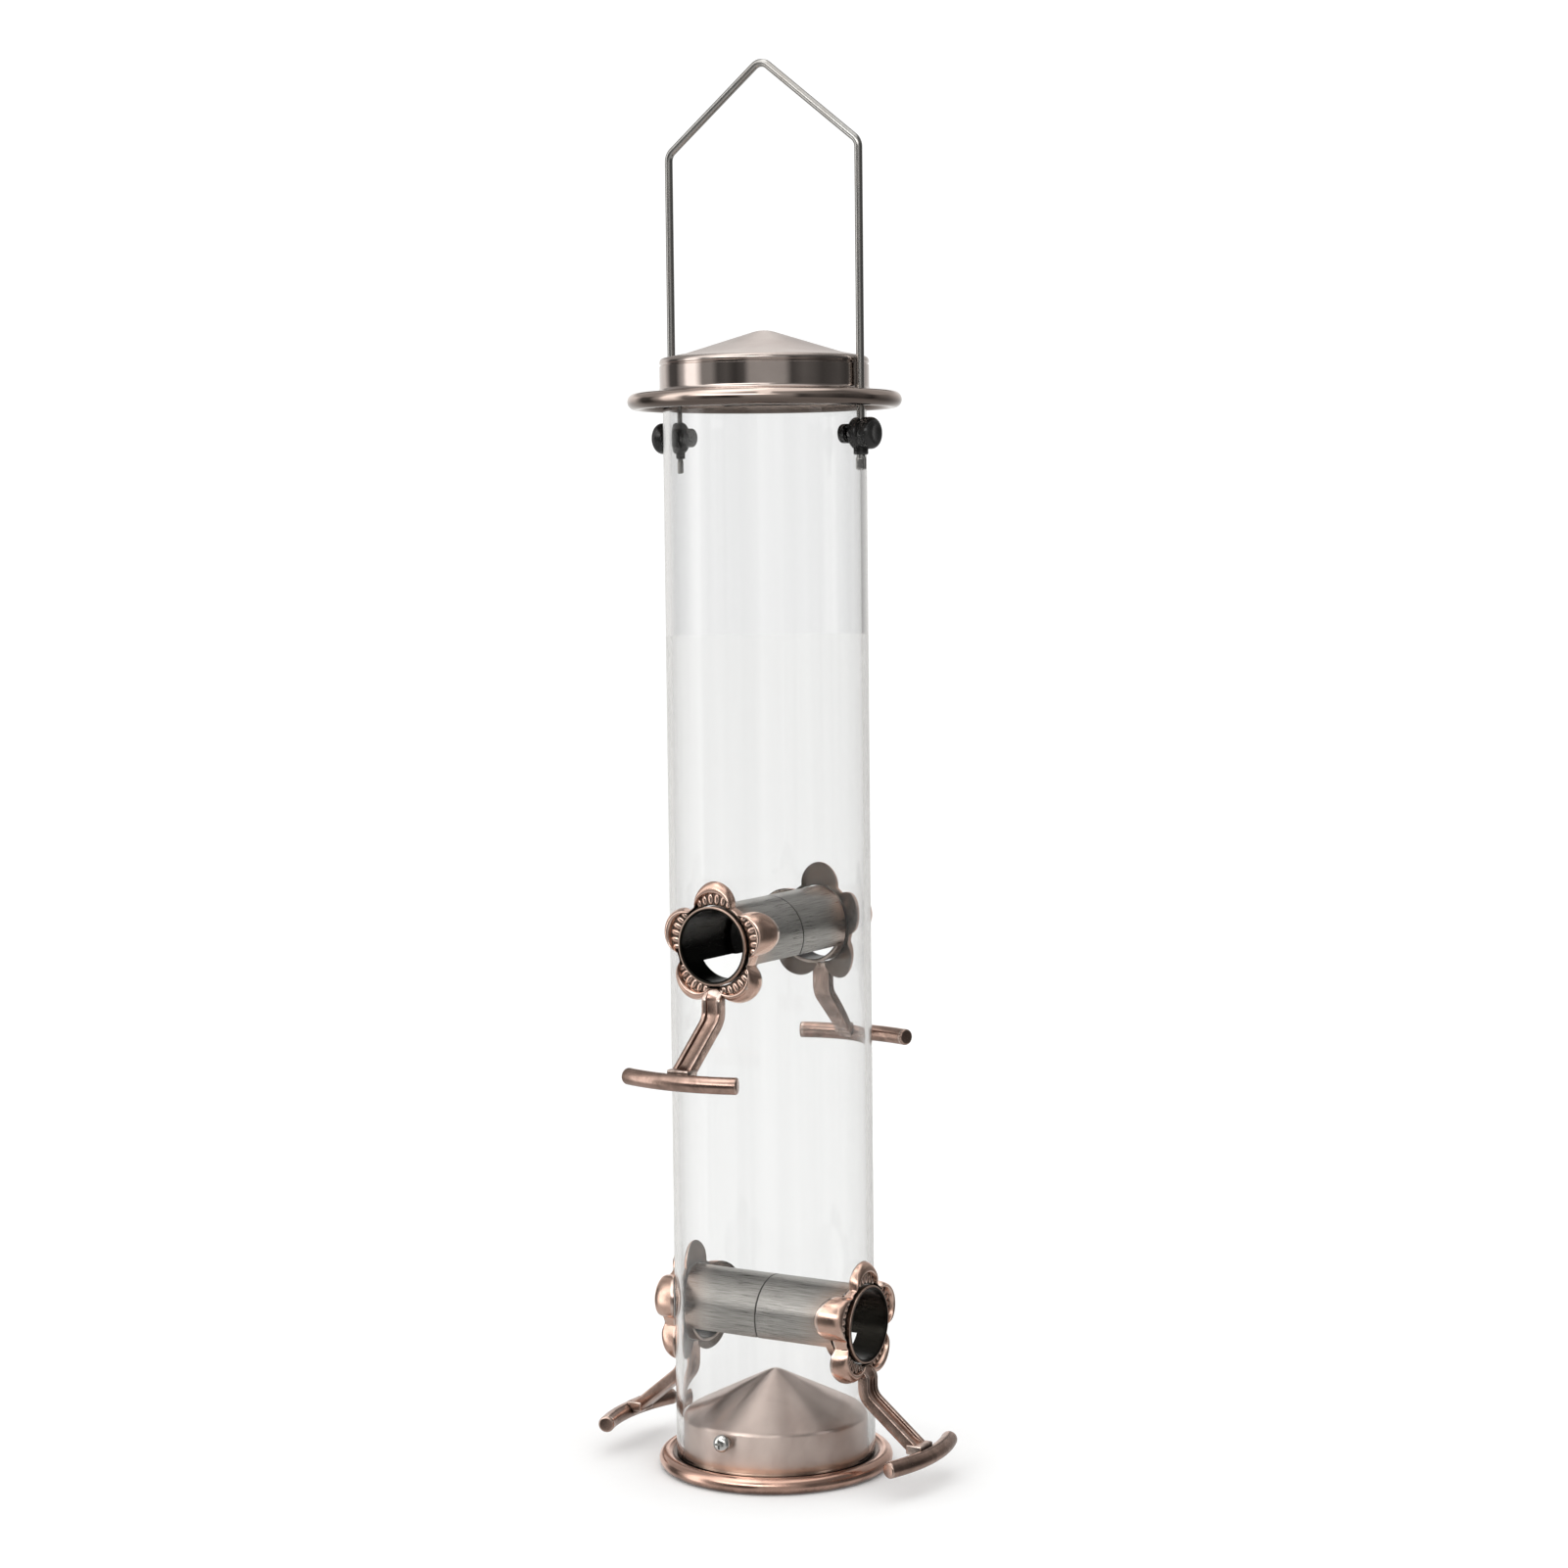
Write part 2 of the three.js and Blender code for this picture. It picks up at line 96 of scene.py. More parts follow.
PAD = Named(width=7.8, inner=49.8, outer=55.4, low=-38.8, high=-35.6)
BAR = Named(orbit=56.2, height=-39.3, radius=2.65, half_angle=20.9, round=0.7)

LID = Named(
    apex=lid_high[2], tip=12.0, slope=0.31, flare=25.0, roof=353.4, wall=32.9,
    sheet=0.55, shoulder=1.45, brim=343.0, fillet=1.2, groove=0.28,
    bead_centre=lid_high[0] - 2.59, bead_height=339.9, bead=2.59,
)
HANGER = Named(turn=LOWER_TURN, leg=34.7, wire=1.25, foot=317.9, kink=418.3, apex=445.6, bend=4.0)
FLAT_TIP = Named(wide=3.4, thick=1.3, tall=4.4)
BRIM_HOLE = 1.75
KNOB = Named(height=329.0, radius=4.95, back=32.35, front=40.4, stud=1.4, stud_end=26.6, hole=1.75)
COLLAR = Named(radius=2.3, low=-6.6, bore=1.6)
KNOB_NUT = Named(outer=3.0, hole=1.72, inner=27.2, face=29.5)
SCREW = Named(height=14.3, shank=1.35, head=2.8, tall=2.2, hole=1.7, tip=25.6, seat=32.3)
BASE_NUT = Named(across=4.8, thick=2.0, hole=1.68, face=28.2)

# Faces round the large turned pieces and round the sleeves.
FULL_TURN, SLEEVE_TURN = 256, 160
# Corners past this many degrees stay sharp, and a radius under this many millimetres is on the axis.
SHARP, ON_AXIS = 32.0, 1e-6

# ---- node helpers ----


def join_up(tree, socket, value):
    if isinstance(value, Rule):
        value = value.socket
    if isinstance(value, bpy.types.NodeSocket):
        tree.links.new(value, socket)
    else:
        socket.default_value = value


def put(tree, kind, sockets=None, **settings):
    """A shader node with its settings, and its sockets linked or set by name or number."""
    made = tree.nodes.new(kind if kind.startswith("Geometry") else "ShaderNode" + kind)
    for key, value in settings.items():
        setattr(made, key, value)
    for key, value in (sockets or {}).items():
        join_up(tree, made.inputs[key], value)
    return made


def shape(tree, kind, sockets=None, **settings):
    """What a geometry node gives, from its sockets and settings."""
    return put(tree, "GeometryNode" + kind, sockets, **settings).outputs[0]


def parts(tree, vector):
    """A vector's three numbers, as rules."""
    split = put(tree, "SeparateXYZ", {0: vector})
    return [Rule(tree, share) for share in split.outputs]


def joined(tree, *numbers):
    """Three numbers as one vector."""
    return put(tree, "CombineXYZ", dict(enumerate(numbers))).outputs[0]


def from_axis(tree, place):
    """How far a spot lies from the upright axis."""
    x, y, _ = parts(tree, place)
    return (x * x + y * y).math("SQRT")


class Rule:
    """A number that a node tree works out, written like its formula."""

    def __init__(self, tree, socket):
        self.tree, self.socket = tree, socket

    def math(self, operation, *others):
        sockets = dict(enumerate((self, *others)))
        return Rule(self.tree, put(self.tree, "Math", sockets, operation=operation).outputs[0])

    def __add__(self, other):
        return self.math("ADD", other)

    def __sub__(self, other):
        return self.math("SUBTRACT", other)

    def __mul__(self, other):
        return self.math("MULTIPLY", other)

    def __truediv__(self, other):
        return self.math("DIVIDE", other)

    def most(self, other):
        return self.math("MAXIMUM", other)

    def least(self, other):
        return self.math("MINIMUM", other)

    def step(self, low, high):
        """0 below low, 1 above high, and smooth in between."""
        sockets = {"Value": self, "From Min": low, "From Max": high}
        made = put(self.tree, "MapRange", sockets, interpolation_type="SMOOTHSTEP")
        return Rule(self.tree, made.outputs[0])


def floats(**values):
    """Number sockets with their usual values."""
    return [(name.replace("_", " "), "Float", value) for name, value in values.items()]


def sockets_of(tree, inputs, outputs):
    for name, kind, value in inputs:
        made = tree.interface.new_socket(name, in_out="INPUT", socket_type="NodeSocket" + kind)
        if value is not None:
            made.default_value = value
    for name, kind in outputs:
        tree.interface.new_socket(name, in_out="OUTPUT", socket_type="NodeSocket" + kind)
    return tree.nodes.new("NodeGroupInput").outputs, tree.nodes.new("NodeGroupOutput").inputs


# ---- shader groups that several finishes share ----


def shader_group(name, inputs, outputs):
    tree = bpy.data.node_groups.new(name, "ShaderNodeTree")
    return tree, *sockets_of(tree, inputs, outputs)


def noise(tree, vector, scale, detail=3.0, roughness=0.55, distortion=0.0):
    sockets = {"Vector": vector, "Scale": scale, "Detail": detail, "Roughness": roughness}
    return Rule(tree, put(tree, "TexNoise", sockets | {"Distortion": distortion}).outputs["Fac"])


def blend_colours(tree, share, first, second):
    return put(tree, "Mix", {0: share, 6: first, 7: second}, data_type="RGBA").outputs[2]


def turned_lines_group():
    """Fine rings left by turning and polishing about the upright axis."""
    tree, given, out = shader_group(
        "Turned lines",
        [("Vector", "Vector", None), *floats(Lines=2600.0, Wander=0.3)],
        [("Height", "Float"), ("Shade", "Float")],
    )
    radius, z = from_axis(tree, given["Vector"]), parts(tree, given["Vector"])[2]
    rings = noise(tree, joined(tree, radius * given["Lines"], z * given["Lines"], 0.0), 1.0, 4.0, 0.7)
    wander = noise(tree, given["Vector"], 60.0, 2.0)
    join_up(tree, out["Height"], rings)
    join_up(tree, out["Shade"], rings + (wander - 0.5) * given["Wander"])
    return tree


def drawn_lines_group():
    """Long fine lines along a drawn or rolled piece, from its own wrap map."""
    tree, given, out = shader_group(
        "Drawn lines",
        [("Wrap", "Vector", None), *floats(Across=4000.0, Along=60.0)],
        [("Height", "Float"), ("Shade", "Float")],
    )
    around, along, _ = parts(tree, given["Wrap"])
    stretched = joined(tree, around * given["Across"], along * given["Along"], 0.0)
    lines = noise(tree, stretched, 1.0, 4.0, 0.65)
    join_up(tree, out["Height"], lines)
    join_up(tree, out["Shade"], lines.step(0.3, 0.7))
    return tree


def dark_patina_group():
    """Oxide that stays in the hollows and thins out where hands and birds rub it away."""
    tree, given, out = shader_group(
        "Dark patina",
        [("Vector", "Vector", None), *floats(Reach=0.003, Cover=0.5, Mottle=260.0)],
        [("Mask", "Float"), ("Height", "Float")],
    )
    hollow = put(tree, "AmbientOcclusion", {"Distance": given["Reach"]}, samples=8)
    depth = Rule(tree, hollow.outputs["AO"]) * -1.0 + 1.0
    mottle = noise(tree, given["Vector"], given["Mottle"], 5.0, 0.62)
    speck = noise(tree, given["Vector"], Rule(tree, given["Mottle"]) * 5.0, 3.0, 0.6)
    amount = depth * 1.5 + (mottle - 0.5) * 0.9 + (speck - 0.5) * 0.35 + given["Cover"] - 0.5
    join_up(tree, out["Mask"], amount.step(0.02, 0.85))
    join_up(tree, out["Height"], mottle * 0.6 + speck * 0.4)
    return tree


def worn_edge_group():
    """Where a corner stands proud enough to be rubbed bright."""
    tree, given, out = shader_group(
        "Worn edge",
        [("Vector", "Vector", None), *floats(Low=0.505, High=0.56)],
        [("Mask", "Float")],
    )
    corner = Rule(tree, put(tree, "NewGeometry").outputs["Pointiness"])
    ragged = noise(tree, given["Vector"], 900.0, 3.0, 0.6)
    level = corner + (ragged - 0.5) * 0.02
    join_up(tree, out["Mask"], level.step(given["Low"], given["High"]))
    return tree


def handling_group():
    """Smudges from hands, and the hair-fine scratches that go with them."""
    tree, given, out = shader_group(
        "Handling",
        [("Vector", "Vector", None), *floats(Smudge_size=45.0, Scratch_size=700.0)],
        [("Smudge", "Float"), ("Scratch", "Float")],
    )
    smudge = noise(tree, given["Vector"], given["Smudge size"], 4.0, 0.6, 0.6)
    scratch = noise(tree, given["Vector"], given["Scratch size"], 2.0, 0.8, 3.5)
    join_up(tree, out["Smudge"], smudge.step(0.35, 0.75))
    join_up(tree, out["Scratch"], scratch.step(0.45, 0.62))
    return tree


TURNED_LINES = turned_lines_group()
DRAWN_LINES = drawn_lines_group()
DARK_PATINA = dark_patina_group()
WORN_EDGE = worn_edge_group()
HANDLING = handling_group()

# ---- finishes ----


def between(share, low, high):
    return share * (high - low) + low


class Finish:
    """A material with its own coordinates, ready for the shared groups."""

    def __init__(self, name, Metallic=1.0, **plain):
        self.material = bpy.data.materials.new(name)
        self.material.use_nodes = True
        self.tree = self.material.node_tree
        self.shader = self.tree.nodes["Principled BSDF"]
        self.set(Metallic=Metallic, **plain)
        self.place = put(self.tree, "TexCoord").outputs["Object"]

    def use(self, group, **values):
        made = put(self.tree, "Group", node_tree=group)
        if "Vector" in made.inputs:
            values = {"Vector": self.place} | values
        for key, value in values.items():
            join_up(self.tree, made.inputs[key.replace("_", " ")], value)
        return Named(**{s.name.lower(): Rule(self.tree, s) for s in made.outputs})

    def wrap(self):
        return put(self.tree, "UVMap", uv_map="wrap").outputs[0]

    def mark(self, name):
        """A number that the mesh carries at each point."""
        return Rule(self.tree, put(self.tree, "Attribute", attribute_name=name).outputs["Fac"])

    def colour(self, share, first, second):
        first, second = ((*side, 1.0) if isinstance(side, tuple) else side for side in (first, second))
        return blend_colours(self.tree, share, first, second)

    def set(self, **values):
        for key, value in values.items():
            join_up(self.tree, self.shader.inputs[key.replace("_", " ")], value)

    def done(self, colour, rough, height, depth, strength, **more):
        """The material with its colour and roughness, and a bump of this depth in metres."""
        bump = put(self.tree, "Bump", {"Strength": strength, "Distance": depth, "Height": height}).outputs[0]
        self.set(Base_Color=colour, Roughness=rough, Normal=bump, **more)
        return self.material


def clear_tube_finish():
    """Extruded clear plastic: faint draw lines along the tube and a light haze of handling."""
    f = Finish("clear_tube_plastic", Metallic=0.0, IOR=1.36, Transmission_Weight=1.0)
    x, y, z = parts(f.tree, f.place)
    streak = noise(f.tree, joined(f.tree, x, y, z * 0.01), 160.0, 3.0, 0.6)
    worn = f.use(HANDLING, Smudge_size=30.0, Scratch_size=500.0)
    tint = f.colour(streak.step(0.3, 0.7), (0.885, 0.887, 0.886), (0.925, 0.927, 0.926))
    return f.done(tint, between(worn.smudge, 0.0, 0.02), streak, 0.00001, 0.05)


def copper_rim_finish():
    """Bright polished copper, with painted shade on the ledge inside the bead, in the gap under the tube."""
    f = Finish("rim_polished_copper")
    lines = f.use(TURNED_LINES, Lines=5200.0)
    dark = f.use(DARK_PATINA, Reach=0.006, Cover=0.12, Mottle=140.0)
    worn = f.use(HANDLING, Smudge_size=70.0)
    # Inward of the bead the ledge, well and floor are painted near black: painted shade for the gap between
    # the tube and the bead.
    bead = from_axis(f.tree, f.place).step((FOOT.bead_centre - 2.4) * MM, (FOOT.bead_centre - 1.0) * MM)
    bright = f.colour(worn.smudge, (0.80, 0.53, 0.43), (0.68, 0.43, 0.34))
    ledge = f.colour(bead, (0.13, 0.085, 0.065), bright)
    colour = f.colour(dark.mask, ledge, (0.16, 0.10, 0.08))
    rough = between(worn.smudge, 0.14, 0.26) + dark.mask * 0.18
    return f.done(colour, rough, lines.height + worn.scratch * 0.4, 0.00001, 0.5)


def satin_copper_finish():
    """Copper sheet spun and satin brushed in rings round the cone."""
    f = Finish("cone_satin_copper", Anisotropic=0.95, Anisotropic_Rotation=0.25)
    lines = f.use(TURNED_LINES, Lines=7000.0)
    worn = f.use(HANDLING, Smudge_size=55.0)
    edge = f.use(WORN_EDGE)
    dark = f.use(DARK_PATINA, Reach=0.004, Cover=0.05, Mottle=120.0)
    grey = f.colour(worn.smudge, (0.80, 0.67, 0.61), (0.66, 0.53, 0.48))
    warm = f.colour(edge.mask, grey, (0.86, 0.60, 0.47))
    colour = f.colour(dark.mask, warm, (0.16, 0.10, 0.08))
    rings = put(f.tree, "Tangent", direction_type="RADIAL", axis="Z").outputs[0]
    return f.done(colour, between(lines.shade, 0.27, 0.36), lines.height, 0.00001, 0.2, Tangent=rings)


def antique_copper_finish(name, cover, bright, warm):
    """Cast copper, blackened and then rubbed back so only the high places shine."""
    f = Finish(name)
    dark = f.use(DARK_PATINA, Reach=0.0030, Cover=cover, Mottle=230.0)
    edge = f.use(WORN_EDGE)
    worn = f.use(HANDLING, Smudge_size=120.0)
    rubbed = f.colour(edge.mask, bright, (0.97, 0.82, 0.74))
    handled = f.colour(worn.smudge, rubbed, warm)
    # Patina, plus the marked back of each flower painted near black: painted shade where the petals lie
    # against the tube, on a back left unpolished.
    oxide = (dark.mask + f.mark("hollow") * 0.62).least(1.0)
    colour = f.colour(oxide, handled, (0.055, 0.046, 0.036))
    rough = between(worn.smudge, 0.17, 0.28) + dark.mask * 0.12
    return f.done(colour, rough, dark.height + worn.scratch * 0.2, 0.00006, 0.35)


def sleeve_finish():
    """Rolled sheet, brushed along its length outside, with painted shade on its inner wall."""
    f = Finish("sleeve_brushed_bronze")
    lines = f.use(DRAWN_LINES, Wrap=f.wrap(), Across=5200.0, Along=90.0)
    dark = f.use(DARK_PATINA, Reach=0.012, Cover=0.10, Mottle=90.0)
    worn = f.use(HANDLING, Smudge_size=60.0)
    grey = f.colour(lines.shade, (0.22, 0.212, 0.20), (0.50, 0.485, 0.46))
    warm = f.colour(from_axis(f.tree, f.place).step(0.018, 0.036), grey, (0.62, 0.46, 0.38))
    # The inner wall is painted near black: painted shade inside the sleeve.
    dimmed = f.colour(f.mark("inside"), warm, (0.014, 0.013, 0.011))
    colour = f.colour(dark.mask * 0.8, dimmed, (0.03, 0.027, 0.022))
    rough = between(lines.shade, 0.24, 0.36) + worn.smudge * 0.06
    return f.done(colour, rough, lines.height, 0.000015, 0.6)


def lid_finish():
    """Spun copper: satin roof, mirror wall with fine turning lines, polished rolled brim with painted shade
    on its underside.
    """
    f = Finish("lid_spun_copper")
    lines = f.use(TURNED_LINES, Lines=5200.0)
    worn = f.use(HANDLING, Smudge_size=48.0)
    dark = f.use(DARK_PATINA, Reach=0.003, Cover=0.04, Mottle=150.0)
    height = parts(f.tree, f.place)[2]
    roof = height.step((LID.roof - 1.6) * MM, (LID.roof - 0.2) * MM)
    brim = (height * -1.0 + (LID.brim + 0.4) * MM).step(0.0, 0.0012)
    wall = f.colour(worn.smudge, (0.64, 0.56, 0.52), (0.56, 0.48, 0.45))
    satin = f.colour(worn.smudge, (0.58, 0.51, 0.475), (0.50, 0.42, 0.39))
    # Below the middle of the rolled bead the copper is painted dark: painted shade on the bead's underside.
    under = height.step((LID.bead_height - 1.2) * MM, (LID.bead_height + 0.9) * MM)
    rolled = f.colour(under, (0.20, 0.16, 0.14), (0.68, 0.56, 0.50))
    warm = f.colour(brim, wall, rolled)
    shell = f.colour(roof, warm, satin)
    colour = f.colour(dark.mask, shell, (0.10, 0.075, 0.06))
    rough = roof * 0.24 + between(lines.shade, 0.03, 0.08) + worn.smudge * 0.02
    return f.done(colour, rough, lines.height + worn.scratch * 0.15, 0.00001, 0.45)


def hanger_finish():
    """Drawn steel wire with a grey oxide skin and long draw lines."""
    f = Finish("hanger_drawn_steel")
    stretched = put(f.tree, "Mapping", {"Vector": f.place, "Scale": (1.0, 1.0, 0.02)}).outputs[0]
    draw = noise(f.tree, stretched, 1500.0, 2.0, 0.5)
    worn = f.use(HANDLING, Smudge_size=90.0)
    grey = f.colour(draw.step(0.3, 0.7), (0.44, 0.44, 0.43), (0.55, 0.545, 0.53))
    skin = f.colour(worn.smudge, grey, (0.45, 0.43, 0.405))
    return f.done(skin, between(worn.smudge, 0.20, 0.30), draw, 0.000006, 0.25)


def screw_finish():
    """Bright zinc-plated steel with a little dark left in the cross recess."""
    f = Finish("screw_bright_steel")
    dark = f.use(DARK_PATINA, Reach=0.0012, Cover=0.02, Mottle=500.0)
    worn = f.use(HANDLING, Smudge_size=300.0, Scratch_size=1500.0)
    plate = f.colour(worn.smudge, (0.82, 0.82, 0.80), (0.70, 0.70, 0.68))
    colour = f.colour(dark.mask * 0.8, plate, (0.12, 0.11, 0.10))
    return f.done(colour, between(worn.smudge, 0.10, 0.2), worn.scratch, 0.00001, 0.4)


def black_plastic_finish():
    """Moulded black plastic: glossy, with a faint flow grain and paler rubbed corners."""
    f = Finish("knob_black_plastic", Metallic=0.0, IOR=1.5)
    grain = noise(f.tree, f.place, 1600.0, 4.0, 0.6)
    worn = f.use(HANDLING, Smudge_size=260.0)
    edge = f.use(WORN_EDGE)
    body = f.colour(worn.smudge, (0.006, 0.006, 0.006), (0.015, 0.015, 0.0145))
    colour = f.colour(edge.mask * 0.5, body, (0.04, 0.04, 0.039))
    return f.done(colour, between(worn.smudge, 0.15, 0.27), grain, 0.00003, 0.35)


CLEAR_TUBE = clear_tube_finish()
COPPER_RIM = copper_rim_finish()
SATIN_COPPER = satin_copper_finish()
PETAL_COPPER = antique_copper_finish("petal_copper", 0.15, (0.92, 0.64, 0.52), (0.70, 0.47, 0.38))
# The perch copper is the petal copper with darker colours and a heavier patina cover: the darker colours are
# painted shade on the stems and bars.
SHADED_PERCH_COPPER = antique_copper_finish("perch_copper", 0.37, (0.55, 0.375, 0.31), (0.31, 0.215, 0.175))
SLEEVE_METAL = sleeve_finish()
LID_COPPER = lid_finish()
HANGER_STEEL = hanger_finish()
SCREW_STEEL = screw_finish()
BLACK_PLASTIC = black_plastic_finish()

# ---- mesh helpers ----


def arc(x, y, radius, start, end, steps):
    """Points on a round stretch of a profile, between two angles in degrees."""
    angles = np.radians(np.linspace(start, end, steps + 1))
    return [(x + radius * cos(a), y + radius * sin(a)) for a in angles]


def eased_tip(top, radius, slope):
    """The rounded point of a cone, down to where its straight slope begins."""
    angles = [slope * i / 8 for i in range(9)]
    return [(radius * sin(a), top - radius * (1 - cos(a))) for a in angles]


def fine(profile, longest):
    """The same outline with its long straight runs cut up, so grain and holes sit on even faces."""
    made = []
    for (x0, y0), (x1, y1) in zip(profile, [*profile[1:], profile[0]]):
        cuts = max(1, ceil(hypot(x1 - x0, y1 - y0) / longest))
        made += [(x0 + (x1 - x0) * i / cuts, y0 + (y1 - y0) * i / cuts) for i in range(cuts)]
    return made


def shown(name, data):
    """A new object in the scene."""
    made = bpy.data.objects.new(name, data)
    bpy.context.scene.collection.objects.link(made)
    return made


def solid_from(name, points, faces, material, around=None, sharp=SHARP):
    """A closed smooth mesh in metres from points in millimetres."""
    mesh = bpy.data.meshes.new(name)
    mesh.from_pydata([tuple(p) for p in np.asarray(points, float) * MM], [], faces)
    mesh.validate()
    if around is not None:
        wrap = mesh.uv_layers.new(name="wrap")
        corners = np.empty(len(mesh.loops), np.int32)
        mesh.loops.foreach_get("vertex_index", corners)
        wrap.data.foreach_set("uv", (np.asarray(around, np.float32) * MM)[corners].ravel())
    settle(mesh, sharp)
    mesh.materials.append(material)
    return shown(name, mesh)


def settle(mesh, sharp=SHARP):
    """Doubles merged, faces turned outwards, smooth but for the sharp corners."""
    shell = bmesh.new()
    shell.from_mesh(mesh)
    bmesh.ops.remove_doubles(shell, verts=shell.verts, dist=1e-7)
    bmesh.ops.recalc_face_normals(shell, faces=shell.faces)
    if shell.calc_volume(signed=True) < 0:
        bmesh.ops.reverse_faces(shell, faces=shell.faces)
    shell.to_mesh(mesh)
    shell.free()
    mesh.shade_smooth()
    mesh.set_sharp_from_angle(angle=radians(sharp))


def turned(name, profile, material, segments=192, along_y=False, sharp=SHARP):
    """A body of revolution about +Z, or +Y, from a closed outline of (radius, distance)."""
    outline = [p for i, p in enumerate(profile) if i == 0 or p != profile[i - 1]]
    count, points, faces, around, first = len(outline), [], [], [], []
    angles = np.linspace(0, 2 * pi, segments, endpoint=False)
    run = np.concatenate([[0], np.cumsum([dist(a, b) for a, b in zip(outline, outline[1:])])])
    for (radius, height), gone in zip(outline, run):
        first.append(len(points))
        turns = [0.0] if radius < ON_AXIS else angles
        for a in turns:
            x, y = radius * cos(a), radius * sin(a)
            points.append((x, height, y) if along_y else (x, y, height))
            around.append((a * max(radius, 1.0), gone))
    for i in range(count):
        j = (i + 1) % count
        low, high = outline[i][0] < ON_AXIS, outline[j][0] < ON_AXIS
        if low and high:
            continue
        for k in range(segments):
            n = (k + 1) % segments
            ring = [first[i] + (0 if low else k), first[i] + (0 if low else n)]
            ring += [first[j] + (0 if high else n), first[j] + (0 if high else k)]
            faces.append(list(dict.fromkeys(ring)))
    return solid_from(name, points, faces, material, around, sharp)


def grid(rows, count, size):
    """Faces from each of these rows of points to the row after it."""
    faces = []
    for row in rows:
        here, after = row * size, (row + 1) % count * size
        faces += [[here + k, after + k, after + (k + 1) % size, here + (k + 1) % size] for k in range(size)]
    return faces


def skinned(name, rings, material, sharp=SHARP):
    """A closed body through a row of equal rings of points, with flat ends."""
    rings = np.asarray(rings, float)
    count, size = rings.shape[:2]
    faces = grid(range(count - 1), count, size)
    faces += [list(range(size)), list(range((count - 1) * size, count * size))]
    return solid_from(name, rings.reshape(-1, 3), faces, material, None, sharp)


def plain(made):
    """The object with its modifiers worked into its mesh."""
    now = bpy.context.evaluated_depsgraph_get()
    mesh = bpy.data.meshes.new_from_object(made.evaluated_get(now), depsgraph=now)
    made.modifiers.clear()
    made.data = mesh
    return made


def eased(made, width, steps):
    """The object with its edges rounded off."""
    ease = made.modifiers.new("ease", "BEVEL")
    ease.width, ease.segments = width * MM, steps
    return plain(made)


def cut(made, *cutters, how="DIFFERENCE"):
    """Cuts solids away, or joins them on, and drops the tools."""
    for cutter in cutters:
        step = made.modifiers.new("cut", "BOOLEAN")
        step.operation, step.solver, step.object = how, "EXACT", cutter
    plain(made)
    for cutter in cutters:
        bpy.data.objects.remove(cutter)
    made.data.shade_smooth()
    made.data.set_sharp_from_angle(angle=radians(SHARP))
    return made


def rod(radius, start, end, sides=64):
    """A cutting rod along +Y."""
    return turned("rod", [(0, start), (radius, start), (radius, end), (0, end)], None, sides, along_y=True)


def upright(name, radius, ends, y, z):
    """A cutting rod along +Z, at one of the hanger's legs."""
    low, high = ends
    made = turned(name, [(0, low), (radius, low), (radius, high), (0, high)], None, 48)
    made.data.transform(Matrix.Translation((0, y * MM, z * MM)))
    return made


def pair(fixing, turn, reach):
    """Cutting rods for a fixing's two holes, on opposite sides of the tube."""
    return [placed(rod(fixing.hole, *reach, 32), turn + side, fixing.height) for side in (0, 180)]


def block(width, y, z):
    half = width / 2
    points = [(s * half, v, w) for w in z for v in y for s in (-1, 1)]
    faces = [(0, 1, 3, 2), (4, 5, 7, 6), (0, 1, 5, 4), (2, 3, 7, 6), (0, 2, 6, 4), (1, 3, 7, 5)]
    return solid_from("block", points, faces, None)


def placed(made, turn, height):
    """Moves a mesh made about the local +Y axis to its bearing and height on the tube."""
    made.data.transform(Matrix.Translation((0, 0, height * MM)) @ Matrix.Rotation(radians(turn), 4, "Z"))
    return made


# ---- geometry trees ----


def shape_tree(name, inputs):
    tree = bpy.data.node_groups.new(name, "GeometryNodeTree")
    given, out = sockets_of(
        tree,
        [("Geometry", "Geometry", None), *inputs, ("Finish", "Material", None)],
        [("Geometry", "Geometry")],
    )
    return tree, given, out


def carried(tree, name):
    """A number that the points carry into the tree."""
    return Rule(tree, shape(tree, "InputNamedAttribute", {"Name": name}, data_type="FLOAT"))


def finish_tree(tree, given, out, made):
    """Every tree ends in real geometry with its finish on it."""
    real = shape(tree, "RealizeInstances", {0: made})
    dressed = shape(tree, "SetMaterial", {"Geometry": real, "Material": given["Finish"]})
    join_up(tree, out["Geometry"], dressed)
    return tree


def grown(name, base, tree, material, **values):
    """The plain mesh that a tree makes from a base object."""
    step = base.modifiers.new("shape", "NODES")
    step.node_group = tree
    values = {key.replace("_", " "): value for key, value in values.items()} | {"Finish": material}
    for item in tree.interface.items_tree:
        if item.in_out == "INPUT" and item.name in values:
            step[item.identifier] = values[item.name]
    now = bpy.context.evaluated_depsgraph_get()
    mesh = bpy.data.meshes.new_from_object(base.evaluated_get(now), depsgraph=now)
    bpy.data.objects.remove(base)
    return shown(name, mesh)


def bent_rod_tree():
    """A round rod along a line of points, with its corners rounded and its ends eased."""
    tree, given, out = shape_tree(
        "Bent rod", [("Radius", "Float", 0.001), ("Bend", "Float", 0.0), ("Sides", "Int", 32)]
    )
    line = shape(tree, "MeshToCurve", {"Mesh": given["Geometry"]})
    bent = shape(tree, "FilletCurve", {"Curve": line, "Radius": given["Bend"], "Count": 12}, mode="POLY")
    circle = shape(tree, "CurvePrimitiveCircle", {"Resolution": given["Sides"], "Radius": given["Radius"]})
    sockets = {"Curve": bent, "Profile Curve": circle, "Scale": carried(tree, "girth"), "Fill Caps": True}
    return finish_tree(tree, given, out, shape(tree, "CurveToMesh", sockets))


